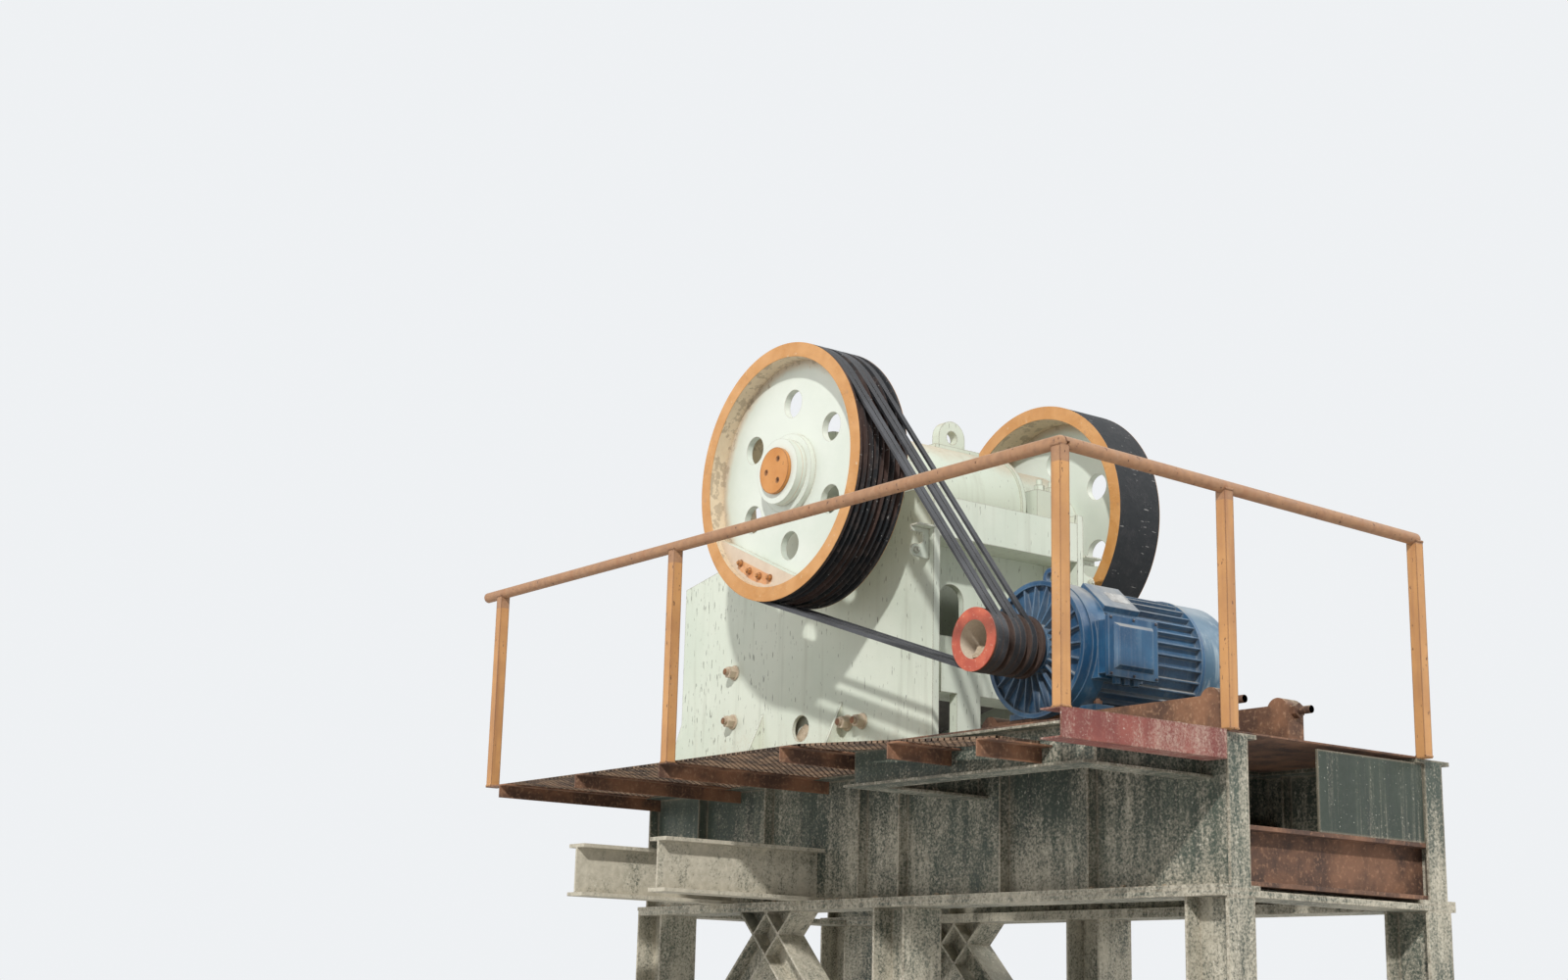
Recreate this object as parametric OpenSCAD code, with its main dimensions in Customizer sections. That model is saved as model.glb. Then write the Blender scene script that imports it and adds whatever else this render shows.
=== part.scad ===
// Jaw crusher with its belt drive, walkway and steel stand, from the ground up.
// +X runs from the feed end to the motor end, +Y away from the walkway, +Z up.
// Pieces are placed from the crusher's own datum: its shaft in X, its mid-plane in Y.

/* [Stand] */
// Height of the top of the girders above the ground
deck_h = 2850; // [2400:10:3400]
// Depth of the plate girders
girder_h = 680; // [560:10:760]
// Distance of each girder's web from the mid-plane
girder_y = 690; // [680:5:720]
// Front end of the girders
girder_front = -1710; // [-1900:10:-1640]
// Rear end of the stand
stand_rear = 2870; // [2820:10:3000]
// Width of the girder flanges
flange_w = 250; // [230:5:270]
// Thickness of the girder flanges
flange_t = 20; // [16:1:25]
// Thickness of the girder webs and stiffeners
web_t = 12; // [8:1:16]
// Reach of the stiffeners on each side of a web
stiffener_w = 60; // [50:2:70]
// Centres of the stiffeners between the girders' ends
stiffener_x = [-1190, -540, 300, 1400, 2003];
// Thickness of the sill plates between the legs and the girders
sill_t = 30; // [20:2:40]
// Centre of the front legs
front_leg_x = -1575; // [-1600:5:-1500]
// Centre of the middle legs
middle_leg_x = 630; // [560:5:700]
// Depth of the legs along X
leg_d = 250; // [220:10:280]
// Width of the front and middle legs along Y
leg_w = 250; // [200:10:260]
// Width of the rear legs along Y
rear_leg_w = 175; // [150:5:200]
// Thickness of the legs' flanges
leg_flange_t = 14; // [10:1:18]
// Thickness of the legs' webs
leg_web_t = 9; // [7:1:14]
// Side of the square foot plates
foot_w = 400; // [360:10:460]
// Thickness of the foot plates
foot_t = 25; // [16:1:32]
// Spacing of the anchor bolts in a foot plate
anchor_pitch = 310; // [300:5:330]
// Radius of the anchor bolt holes
anchor_r = 14; // [10:1:18]
// Slope of the leg braces
brace_angle = 45; // [40:1:50]
// Depth of the braces
brace_d = 175; // [140:5:200]

/* [Cross beams] */
// Depth of the beams between the girders
cross_h = 300; // [240:10:360]
// Flange width of the beams between the girders
cross_w = 150; // [120:10:180]
// Centres of the beams under the motor's deck
motor_beam_x = [1120, 1300, 1860];
// Depth of the rear cross beam
rear_cross_h = 264; // [220:4:290]
// Near edge of the rear end plate
end_plate_y = -140; // [-200:10:0]
// Length of the outriggers that reach out from the near girder
outrigger_l = 1040; // [800:20:1200]
// Depth of the outriggers
outrigger_h = 280; // [220:10:300]
// Centres of the outriggers
outrigger_x = [-930, -130];

/* [Walkway] */
// Near edge of the walkway
walk_y = -1810; // [-1900:10:-1700]
// Front end of the walkway
walk_front = -1850; // [-1900:10:-1850]
// Distance of the mesh from the walkway's near edge, past the posts
mesh_inset = 60; // [58:2:80]
// Thickness of the expanded mesh
mesh_t = 12; // [8:1:20]
// Spacing of the mesh's strands along X
mesh_pitch = 210; // [180:10:300]
// Width of a strand
strand_w = 12; // [10:1:20]
// Front faces of the brackets that reach the girder
bracket_x = [-1690, -860, -40, 1000];
// Front faces of the short brackets on the edge beam
short_bracket_x = [1805, 2400];
// Fall of the rear strip of mesh
strip_fall = 80; // [0:5:90]
// Width of the bracket angles
bracket_w = 75; // [60:5:90]
// Thickness of the bracket angles
bracket_t = 8; // [6:1:12]
// Near edge of the plated part
plate_y = -1500; // [-1540:10:-1460]
// Rear face of the plated part's own frame
plate_frame_rear = 2730; // [2700:10:2760]
// Gap between the wide mesh and the plated part
edge_gap = 30; // [20:5:40]
// Depth of the beams that frame the plated part
edge_beam_h = 190; // [160:10:210]
// Flange width of the beams that frame the plated part
edge_beam_w = 150; // [120:10:170]
// Depth of the rear channel
channel_h = 130; // [110:5:160]
// Reach of the rear channel behind the girders
channel_reach = 50; // [40:2:60]
// Thickness of the deck plates
deck_t = 8; // [6:1:10]

/* [Handrail] */
// Height of the rail's centre above the deck
rail_h = 1125; // [1000:5:1200]
// Radius of the rail pipe
rail_r = 30; // [24:1:32]
// Side of the square posts
post_w = 55; // [45:1:60]
// Front post of the side rail
front_post_x = -1820; // [-1900:10:-1760]
// Middle post of the side rail
middle_post_x = 0; // [-10:2:6]
// Overhang of the rail past the front post
rail_overhang = 180; // [100:10:240]
// Far end post of the rear rail
rear_post_y = 600; // [500:10:640]
// Middle post of the rear rail
middle_post_y = -760; // [-780:5:-730]
// Fall of the rear rail towards its end post
rail_fall = 60; // [0:5:80]

/* [Crusher frame] */
// Height of the shaft above the deck
shaft_h = 1650; // [1600:5:1700]
// Width of the chamber between the side walls
chamber_w = 900; // [860:10:920]
// Thickness of the side walls' inner plates
wall_t = 50; // [40:2:60]
// Width of a side wall over its ribs and cover plate
wall_w = 110; // [100:2:120]
// Thickness of the cover plates and ribs
cover_t = 20; // [16:1:25]
// Thickness of the side walls' thin rear ends
wall_end_t = 45; // [35:1:50]
// Front end of the side walls
wall_front = -1690; // [-1700:5:-1660]
// Rear end of the side walls
wall_rear = 665; // [650:5:680]
// Height of the side walls' front corner
wall_front_h = 1296; // [1280:2:1310]
// Height of the top of the side walls
wall_top_h = 1550; // [1545:1:1560]
// Where the side walls reach their full height
wall_crest_x = -360; // [-400:10:-340]
// Height of the side walls' flared front corner
flare_h = 274; // [240:2:300]
// Run of the front flare
flare_run = 92; // [80:2:110]
// Rise of the front flare
flare_rise = 184; // [160:4:200]
// Thickness of the crusher's feet
pad_t = 40; // [30:2:50]
// Reach of the feet past the cover plates
pad_reach = 200; // [180:5:220]
// Reach of the feet past the front of the walls
pad_front = 120; // [115:5:150]
// Height of the foot gussets
gusset_h = 440; // [400:10:460]
// Centres of the foot gussets
gusset_x = [-851, -113];
// Centres of the studs that hold the cheek plates, along X
stud_x = [-1141, -1145, -50, 79];
// Heights of those studs above the deck
stud_h = [716, 422, 318, 317];
// Radius of the studs
stud_r = 20; // [16:1:24]
// Reach of the studs past the walls
stud_reach = 75; // [60:5:90]
// Radius of the hole in each cover plate
cover_hole_r = 75; // [60:5:90]
// Height of the cover plate hole
cover_hole_h = 325; // [300:5:340]
// Place of the cover plate hole along X
cover_hole_x = -480; // [-500:4:-440]
// Thickness of the front wall
front_wall_t = 60; // [50:5:80]
// Face of the fixed jaw plate
fixed_face_x = -1000; // [-1020:5:-980]
// Top of the rear top beam above the deck
beam_top_h = 1500; // [1490:5:1520]
// Depth of the rear top beam
top_beam_h = 225; // [200:5:240]
// Width of the rear top beam
top_beam_w = 210; // [190:5:230]
// Bottom of the rear lower beam above the deck
lower_beam_z = 440; // [430:5:445]
// Depth of the rear lower beam
lower_beam_h = 160; // [140:5:170]
// Thickness of the rear beams' plates
beam_t = 30; // [20:2:40]
// Thickness of the rear wall
rear_wall_t = 40; // [30:2:50]

/* [Jaws] */
// Thickness of the toothed jaw plates, over their teeth
jaw_plate_t = 80; // [70:2:90]
// Depth of the teeth
tooth_d = 30; // [20:1:36]
// Number of teeth across a jaw plate
teeth = 10; // [8:1:12]
// Thickness of the cheek plates
cheek_t = 25; // [20:1:30]
// Clearance at each side of the swing jaw
jaw_gap = 12; // [10:1:20]
// Feed opening between the jaw plates
gape = 600; // [560:5:620]
// Discharge opening between the jaw plates
discharge = 120; // [100:5:150]
// Bottom of the jaw plates above the deck
jaw_bottom_h = 250; // [200:10:300]
// Top of the jaw plates above the deck
jaw_top_h = 1400; // [1380:5:1400]
// Radius of the swing jaw's barrel
barrel_r = 340; // [320:5:350]
// Thickness of the toggle plate
toggle_t = 60; // [50:2:70]
// Front end of the toggle plate: distance behind the shaft
toggle_front_x = -415; // [-430:5:-400]
// Height of the toggle plate's front end
toggle_front_h = 400; // [380:5:420]
// Rear end of the toggle plate
toggle_rear_x = 300; // [280:5:320]
// Height of the toggle plate's rear end
toggle_rear_h = 560; // [540:5:580]
// Clearance left at the toggle's open pivot
toggle_gap = 22; // [20:1:30]
// Radius of the tension rods
tension_r = 22; // [18:1:26]
// Distance of the tension rods from the mid-plane
tension_y = 250; // [200:10:300]
// Outer radius of the tension springs
spring_r = 75; // [68:1:85]
// Radius of the spring wire
spring_wire_r = 11; // [9:1:13]
// Turns of each tension spring
spring_turns = 6; // [5:1:8]

/* [Shaft and wheels] */
// Radius of the shaft in its frame bearings
journal_r = 130; // [120:1:132]
// Radius of the eccentric part of the shaft
eccentric_r = 150; // [148:1:165]
// Throw of the eccentric
throw = 15; // [12:1:16]
// Radial running clearance of the shaft
shaft_clear = 0.05; // [0.02:0.01:0.1]
// Radius of the shaft ends in the wheels
shaft_end_r = 100; // [90:1:110]
// Radius of the bearing housings
housing_r = 285; // [270:5:300]
// Radius of the two wheels
wheel_r = 725; // [700:5:740]
// Width of the wheel rims
wheel_w = 330; // [320:5:350]
// Outer faces of the wheels from the mid-plane
wheel_face_y = 1130; // [1120:5:1150]
// Depth of the rims
rim_t = 80; // [70:2:90]
// Thickness of the wheel webs
web_disc_t = 40; // [30:2:50]
// Setback of the web from the wheel's outer face
web_setback = 100; // [80:5:130]
// Radius of the wheel hubs
hub_r = 183; // [170:1:195]
// Radius of the step round each hub
hub_step_r = 222; // [205:1:235]
// Height of the step round each hub
hub_step_h = 35; // [20:1:50]
// Thickness of the counterweight in each wheel
weight_t = 60; // [40:5:70]
// Distance of the counterweight's straight edge from the shaft
weight_d = 500; // [490:5:520]
// Direction of the counterweight from the shaft
weight_angle = -114; // [-118:1:-110]
// Number of holes in each web
web_holes = 6; // [5:1:8]
// Radius of the web holes
web_hole_r = 80; // [70:2:84]
// Pitch radius of the web holes
web_hole_pitch_r = 405; // [390:5:420]
// Radius of the end caps on the shaft
cap_r = 130; // [115:5:150]
// Thickness of the end caps
cap_t = 22; // [16:2:30]
// Radius of the bolt holes in the end caps
cap_hole_r = 15; // [12:1:18]
// Pitch radius of the bolt holes in the end caps
cap_pitch_r = 70; // [60:1:80]

/* [Belt drive] */
// Number of grooves in the pulleys
grooves = 8; // [8:1:8]
// Spacing of the grooves
groove_pitch = 37; // [36:0.5:38]
// Width of a groove at the rim
groove_w = 32; // [30:0.5:33]
// Depth of a groove
groove_d = 27; // [25:0.5:30]
// Included angle of a groove
groove_angle = 38; // [34:1:40]
// Height of a belt
belt_h = 19; // [17:0.5:20]
// Clearance of the belts in the grooves
belt_clear = 0.5; // [0.3:0.1:1]
// Grooves that carry a belt, counted from the outer face
belt_grooves = [0, 1, 3, 4, 6];
// Radius of the motor pulley
motor_pulley_r = 156; // [150:1:165]
// Motor shaft, distance behind the crusher shaft
motor_x = 1621; // [1580:1:1660]
// Motor shaft height above the deck
motor_h = 515; // [500:1:540]

/* [Motor] */
// Radius of the motor shaft
motor_shaft_r = 40; // [35:1:45]
// Radial running clearance of the motor shaft
motor_clear = 0.05; // [0.02:0.01:0.1]
// Front face of the motor's end shield
motor_front_y = -760; // [-770:5:-740]
// Length of the motor from its end shield to its fan cover's end
motor_l = 1130; // [1060:10:1200]
// Radius of the motor over its fins
motor_r = 345; // [330:5:360]
// Height of the motor's shaft above its feet
motor_shaft_h = 315; // [310:1:320]
// Height of the fins
fin_h = 38; // [30:1:45]
// Thickness of a fin
fin_t = 8; // [6:1:10]
// Number of fins round the motor
fins = 36; // [28:2:44]
// Spacing of the foot bolts across the motor
foot_pitch_x = 508; // [490:2:530]
// Spacing of the foot bolts along the motor
foot_pitch_y = 457; // [430:1:470]
// Reach of the terminal box from the motor's axis
box_reach = 460; // [430:5:500]
// Length of the terminal box along the motor
box_l = 300; // [240:10:340]
// Height of the terminal box
box_h = 260; // [220:10:300]
// Bottom of the terminal box above the motor's axis
box_z0 = -150; // [-180:5:-100]
// Width of a slide rail
rail_w = 110; // [100:5:120]

/* [Hidden] */
$fn = 48;

girder_bottom = deck_h - girder_h;
leg_top = girder_bottom - sill_t;
rear_leg_x = stand_rear - leg_d / 2;
flange_in = girder_y - flange_w / 2;
flange_out = girder_y + flange_w / 2;
web_in = girder_y - web_t / 2;
shaft_z = deck_h + shaft_h;
wall_in = chamber_w / 2;
wall_out = wall_in + wall_w;
jaw_half = wall_in - cheek_t - jaw_gap;
wheel_in = wheel_face_y - wheel_w;
motor_z = deck_h + motor_h;
motor_feet_z = motor_z - motor_shaft_h;
rail_x = stand_rear + channel_reach - rail_r;
rail_y = walk_y + rail_r;
rail_z = deck_h + rail_h;
rail_front = front_post_x - rail_overhang;
swing_top_x = fixed_face_x + gape;
swing_bottom_x = fixed_face_x + discharge;
jaw_lean = atan2(swing_top_x - swing_bottom_x, jaw_top_h - jaw_bottom_h);

seat_gap = 0.3;
mesh_gap = 1;
nut_k = 1.8;
washer_k = 2.2;
wheel_gap = 15;

// The origin is on the ground at the middle of the plan
plan_x = (rail_front + max(rail_x + rail_r, rear_leg_x + foot_w / 2)) / 2;
plan_y = (walk_y + wheel_face_y + cap_t) / 2;

// Moves a piece from the crusher's datum to the origin
module placed() { translate([-plan_x, -plan_y, 0]) children(); }

// Block between a low corner and a high corner
module slab(low, high) { translate(low) cube(high - low); }

// Extrudes an outline drawn in X and Z along Y, from y0 to y1
module along_y(y0, y1) {
    translate([0, y1, 0]) rotate([90, 0, 0]) linear_extrude(y1 - y0) children();
}

// Extrudes an outline drawn in Y and Z along X, from x0 to x1
module along_x(x0, x1) {
    translate([x0, 0, 0]) rotate([90, 0, 90]) linear_extrude(x1 - x0) children();
}

// Copies a piece to both sides of the mid-plane
module both_sides() {
    children();
    mirror([0, 1, 0]) children();
}

// I-section centred on the origin, its depth along the drawing's Y
module i_outline(depth, width, web, flange) {
    union() {
        square([web, depth], center = true);
        for (s = [-1, 1]) translate([0, s * (depth - flange) / 2]) square([width, flange], center = true);
    }
}

// Plate girder with its vertical stiffeners, on the +Y side
stiffener_xs = concat([girder_front + web_t / 2, middle_leg_x, stand_rear - web_t / 2], stiffener_x);
module girder() {
    translate([0, girder_y, girder_bottom + girder_h / 2])
        along_x(girder_front, stand_rear) i_outline(girder_h, flange_w, web_t, flange_t);
    for (x = stiffener_xs)
        slab([x - web_t / 2, web_in - stiffener_w, girder_bottom + flange_t],
            [x + web_t / 2, girder_y + web_t / 2 + stiffener_w, deck_h - flange_t]);
}
module near_girder() { color("darkslategray") placed() mirror([0, 1, 0]) girder(); }
module far_girder() { color("darkslategray") placed() girder(); }

// Beam between the girders' webs, coped round their top flanges
module cross_beam(x, top, depth, width) {
    slab([x - width / 2, -flange_in, top - flange_t], [x + width / 2, flange_in, top]);
    slab([x - width / 2, -web_in, top - depth], [x + width / 2, web_in, top - depth + flange_t]);
    slab([x - web_t / 2, -web_in, top - depth], [x + web_t / 2, web_in, top - flange_t]);
}
front_cross_x = girder_front + web_t + cross_w / 2;
module front_cross_beam() {
    color("darkslategray") placed() cross_beam(front_cross_x, deck_h, cross_h, cross_w);
}
module motor_cross_beams() {
    color("darkslategray") placed() for (x = motor_beam_x) cross_beam(x, deck_h, cross_h, cross_w);
}

// Rusty beam across the rear end, standing on the girders' bottom flanges
rear_beam_x = stand_rear - web_t - cross_w / 2;
module rear_cross_beam() {
    color("saddlebrown") placed() translate([rear_beam_x, 0, girder_bottom + flange_t + rear_cross_h / 2])
        along_y(-web_in, web_in) i_outline(rear_cross_h, cross_w, web_t, flange_t);
}
module rear_end_plate() {
    color("darkslategray") placed()
        slab([stand_rear - 2 * web_t, end_plate_y, girder_bottom + flange_t + rear_cross_h],
            [stand_rear - web_t, web_in - stiffener_w, deck_h - flange_t]);
}

// H-section leg with its foot plate and cap plate
module leg(x, y, width) {
    translate([x, y, foot_t]) linear_extrude(leg_top - foot_t) rotate(90)
        i_outline(leg_d, width, leg_web_t, leg_flange_t);
    difference() {
        slab([x - foot_w / 2, y - foot_w / 2, 0], [x + foot_w / 2, y + foot_w / 2, foot_t]);
        for (sx = [-1, 1], sy = [-1, 1])
            translate([x + sx * anchor_pitch / 2, y + sy * anchor_pitch / 2, -1])
                cylinder(h = foot_t + 2, r = anchor_r);
    }
}
module legs(side) {
    leg(front_leg_x, side * girder_y, leg_w);
    leg(middle_leg_x, side * girder_y, leg_w);
    leg(rear_leg_x, side * girder_y, rear_leg_w);
}
module near_legs() { color("darkslategray") placed() legs(-1); }
module far_legs() { color("darkslategray") placed() legs(1); }

// Inverted V of two braces between the front and the middle legs
brace_x0 = front_leg_x + leg_d / 2;
brace_x1 = middle_leg_x - leg_d / 2;
brace_mid = (brace_x0 + brace_x1) / 2;
brace_run = (brace_x1 - brace_x0) / 2;
module brace_pair(side) {
    translate([brace_mid, side * girder_y, leg_top]) intersection() {
        along_y(-leg_w, leg_w) polygon([[-brace_run, 0], [brace_run, 0],
            [brace_run, -brace_run - brace_d * 2], [-brace_run, -brace_run - brace_d * 2]]);
        union() {
            for (s = [-1, 1]) mirror([s < 0 ? 1 : 0, 0, 0])
                rotate([0, brace_angle, 0]) translate([-brace_d, 0, -brace_d / 2])
                    along_x(0, brace_run * 2) i_outline(brace_d, brace_d, leg_web_t, leg_flange_t);
        }
    }
}
module near_braces() { color("darkslategray") placed() brace_pair(-1); }
module far_braces() { color("darkslategray") placed() brace_pair(1); }

// Sill plates on the legs, under the girders
module sill(side) {
    y = side * girder_y;
    slab([front_leg_x - leg_d / 2, y - flange_w / 2, leg_top],
        [stand_rear, y + flange_w / 2, girder_bottom]);
}
module near_sill() { color("darkslategray") placed() sill(-1); }
module far_sill() { color("darkslategray") placed() sill(1); }
module end_sills() {
    color("darkslategray") placed() for (x = [front_leg_x, rear_leg_x])
        slab([x - leg_d / 2, -flange_in, leg_top], [x + leg_d / 2, flange_in, girder_bottom]);
}

// Short beams that reach out from the near girder
module outriggers() {
    color("darkseagreen") placed() for (x = outrigger_x)
        translate([x, 0, girder_bottom + flange_t + outrigger_h / 2])
            along_y(-girder_y - web_t / 2 - outrigger_l, -girder_y - web_t / 2)
                i_outline(outrigger_h, cross_w, web_t, flange_t);
}

// Angle brackets that carry the walkway, and the strip that holds its front post
module bracket(x, top, y1) {
    difference() {
        along_y(walk_y, y1) polygon([[x, top], [x + bracket_w, top], [x + bracket_w, top - bracket_t],
            [x + bracket_t, top - bracket_t], [x + bracket_t, top - bracket_w], [x, top - bracket_w]]);
        slab([x - 1, -flange_out, deck_h - flange_t], [x + bracket_w + 1, 0, deck_h]);
    }
}
mesh_bottom = deck_h - mesh_t;
strip_x0 = bracket_x[3] + bracket_w;
strip_x1 = short_bracket_x[1] + bracket_w;
strip_slope = strip_fall / (strip_x1 - strip_x0);
edge_web_y = plate_y + edge_beam_w / 2;
plate_frame_front = strip_x0 + edge_gap;
module walkway_brackets() {
    color("saddlebrown") placed() {
        for (x = bracket_x) bracket(x, mesh_bottom, -girder_y - web_t / 2);
        slab([walk_front, walk_y, mesh_bottom - bracket_t],
            [bracket_x[0] + bracket_t, walk_y + bracket_w, mesh_bottom]);
        for (x = short_bracket_x)
            bracket(x, mesh_bottom - (x + bracket_w - strip_x0) * strip_slope, edge_web_y - web_t / 2);
    }
}

// Frame of the plated part: a beam along its near edge and one across at each end
module edge_beam() {
    bottom = deck_h - edge_beam_h;
    color("saddlebrown") placed() {
        translate([0, edge_web_y, deck_h - edge_beam_h / 2])
            along_x(plate_frame_front, plate_frame_rear) i_outline(edge_beam_h, edge_beam_w, web_t, web_t);
        for (x = [plate_frame_front + edge_beam_w / 2, plate_frame_rear - edge_beam_w / 2]) {
            slab([x - edge_beam_w / 2, edge_web_y, deck_h - web_t],
                [x + edge_beam_w / 2, -flange_out, deck_h]);
            slab([x - edge_beam_w / 2, edge_web_y, bottom],
                [x + edge_beam_w / 2, -girder_y - web_t / 2, bottom + web_t]);
            slab([x - web_t / 2, edge_web_y, bottom], [x + web_t / 2, -flange_out, deck_h - web_t]);
            slab([x - web_t / 2, edge_web_y, bottom],
                [x + web_t / 2, -girder_y - web_t / 2, deck_h - flange_t]);
        }
    }
}

// Expanded mesh drawn flat: crossing strands in a border
module mesh_outline(len, width) {
    intersection() {
        square([len, width]);
        union() {
            difference() {
                square([len, width]);
                translate([strand_w, strand_w]) square([len - 2 * strand_w, width - 2 * strand_w]);
            }
            for (x = [0 : mesh_pitch : len + width], s = [-1, 1])
                translate([s > 0 ? x - width : x, 0]) rotate(s > 0 ? 45 : 135)
                    translate([-strand_w, -strand_w / 2]) square([width * 1.5, strand_w]);
        }
    }
}

// Mesh of the walkway: a wide front panel, and a strip that falls beside the plated part
module walkway_grating() {
    color("saddlebrown") placed() {
        translate([walk_front, walk_y + mesh_inset, mesh_bottom]) linear_extrude(mesh_t)
            mesh_outline(bracket_x[3] + bracket_w - walk_front, -flange_out - walk_y - mesh_inset);
        translate([strip_x0 + mesh_gap, walk_y + mesh_inset, mesh_bottom])
            rotate([0, atan(strip_slope), 0])
            linear_extrude(mesh_t) mesh_outline(strip_x1 - strip_x0,
                plate_y - walk_y - mesh_inset - 2 * mesh_gap);
    }
}

// Channel across the rear end of the walkway
module rear_channel() {
    color("firebrick") placed() along_y(walk_y, -flange_out) polygon([[stand_rear + channel_reach, deck_h],
        [stand_rear - bracket_w, deck_h], [stand_rear - bracket_w, deck_h - bracket_t],
        [stand_rear + channel_reach - bracket_t, deck_h - bracket_t],
        [stand_rear + channel_reach - bracket_t, deck_h - channel_h + bracket_t],
        [stand_rear - bracket_w, deck_h - channel_h + bracket_t],
            [stand_rear - bracket_w, deck_h - channel_h],
        [stand_rear + channel_reach, deck_h - channel_h]]);
}

// Plates on the beams: the walkway's rear part and the motor's deck
module deck_plates() {
    color("sienna") placed()
        slab([plate_frame_front, plate_y, deck_h], [stand_rear, flange_in, deck_h + deck_t]);
}

// Rail pipe between two points, with round ends at the corners
module pipe(a, b, r) {
    d = b - a;
    translate(a) rotate([0, acos(d[2] / norm(d)), atan2(d[1], d[0])]) cylinder(h = norm(d), r = r);
}
module post(x, y, z0, z1) { slab([x - post_w / 2, y - post_w / 2, z0],
    [x + post_w / 2, y + post_w / 2, z1]); }
module side_handrail() {
    color("peru") placed() {
        pipe([rail_front, rail_y, rail_z], [rail_x, rail_y, rail_z], rail_r);
        translate([rail_x, rail_y, rail_z]) sphere(r = rail_r);
        for (x = [front_post_x, middle_post_x]) post(x, rail_y, mesh_bottom, rail_z - rail_r / 2);
        post(rail_x, rail_y, deck_h, rail_z - rail_r / 2);
    }
}
module rear_handrail() {
    end = [rail_x, rear_post_y, rail_z - rail_fall];
    mid_z = rail_z - rail_fall * (middle_post_y - rail_y) / (rear_post_y - rail_y);
    color("peru") placed() {
        difference() {
            pipe([rail_x, rail_y, rail_z], end, rail_r);
            translate([rail_x, rail_y, rail_z]) sphere(r = rail_r + seat_gap);
            pipe([rail_x - 3 * rail_r, rail_y, rail_z], [rail_x, rail_y, rail_z], rail_r + seat_gap);
            slab([rail_x - post_w, rail_y - post_w, rail_z - 2 * rail_r],
                [rail_x + post_w, rail_y + post_w / 2 + seat_gap, rail_z]);
        }
        translate(end) sphere(r = rail_r);
        post(rail_x, middle_post_y, deck_h + deck_t, mid_z - rail_r / 2);
        post(rail_x, rear_post_y, deck_h, end[2] - rail_r / 2);
    }
}

// Side wall of the crusher: an inner plate, ribs round the edge and a cover plate. Behind the
// chamber only the outer plate goes on, past the rear beams.
wall_step_x = wall_rear - top_beam_w;
rib_w = 60;
seat_rib_h = 1130;
wall_outline = [[wall_front - flare_run, deck_h + pad_t], [wall_front - flare_run, deck_h + flare_h],
    [wall_front, deck_h + flare_h + flare_rise], [wall_front, deck_h + wall_front_h],
    [wall_crest_x, deck_h + wall_top_h], [wall_rear, deck_h + wall_top_h], [wall_rear, deck_h + pad_t]];
module wall_stud(x, h) {
    translate([x, wall_out, deck_h + h]) rotate([-90, 0, 0]) {
        cylinder(h = stud_r / 2, r = stud_r * washer_k);
        translate([0, 0, stud_r / 2]) cylinder(h = stud_reach - 1.5 * stud_r, r = stud_r * nut_k, $fn = 6);
        translate([0, 0, stud_reach - stud_r]) cylinder(h = stud_r, r = stud_r);
    }
}
module side_wall() {
    difference() {
        union() {
            difference() {
                along_y(wall_in, wall_out) polygon(wall_outline);
                along_y(wall_in + wall_t, wall_out - cover_t)
                    polygon([[wall_front + rib_w, deck_h + pad_t + rib_w],
                        [wall_front + rib_w, deck_h + wall_front_h - rib_w],
                        [-2 * housing_r, deck_h + wall_front_h - rib_w],
                            [-housing_r * 1.6, deck_h + seat_rib_h],
                        [wall_step_x - rib_w, deck_h + seat_rib_h],
                            [wall_step_x - rib_w, deck_h + pad_t + rib_w]]);
                slab([wall_step_x, wall_in - 1, deck_h], [wall_rear + 1, wall_out - wall_end_t, shaft_z]);
                translate([cover_hole_x, wall_out - cover_t - 1, deck_h + cover_hole_h])
                    rotate([-90, 0, 0])
                    cylinder(h = cover_t + 2, r = cover_hole_r);
            }
            translate([0, 0, deck_h]) linear_extrude(pad_t) polygon([[wall_front - pad_front, wall_in],
                [wall_step_x, wall_in], [wall_step_x, wall_out - wall_end_t],
                    [wall_rear, wall_out - wall_end_t],
                [wall_rear, wall_out + pad_reach], [wall_front - pad_front, wall_out + pad_reach]]);
            for (x = gusset_x) along_x(x - cover_t / 2, x + cover_t / 2)
                polygon([[wall_out, deck_h + pad_t], [wall_out + pad_reach - cover_t, deck_h + pad_t],
                    [wall_out, deck_h + gusset_h]]);
            for (i = [0 : len(stud_x) - 1]) wall_stud(stud_x[i], stud_h[i]);
        }
        translate([0, wall_in - 1, shaft_z]) rotate([-90, 0, 0])
            cylinder(h = wall_w + 2, r = housing_r + seat_gap);
    }
}
module near_side_wall() { color("beige") placed() mirror([0, 1, 0]) side_wall(); }
module far_side_wall() { color("beige") placed() side_wall(); }

// Front wall behind the fixed jaw plate, with its flat ribs
front_wall_x = fixed_face_x - jaw_plate_t - front_wall_t;
rib_hs = [180, 540, 900, 1200];
module front_wall() {
    color("beige") placed() {
        slab([front_wall_x, -wall_in, deck_h + pad_t],
            [front_wall_x + front_wall_t, wall_in, deck_h + jaw_top_h]);
        for (h = rib_hs)
            slab([wall_front, -wall_in, deck_h + h], [front_wall_x, wall_in, deck_h + h + cover_t * 2]);
        for (y = [-wall_in / 2, 0, wall_in / 2])
            slab([(wall_front + front_wall_x) / 2, y - cover_t, deck_h + rib_hs[0]],
                [front_wall_x, y + cover_t, deck_h + rib_hs[3]]);
    }
}

// Box beam across the top of the rear end, between the side walls' thin ends
beam_y = wall_out - wall_end_t;
module rear_top_beam() {
    color("beige") placed() along_y(-beam_y, beam_y)
        translate([wall_step_x, deck_h + beam_top_h - top_beam_h])
        difference() {
            square([top_beam_w, top_beam_h]);
            translate([beam_t, beam_t]) square([top_beam_w - 2 * beam_t, top_beam_h - 2 * beam_t]);
        }
}

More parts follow.
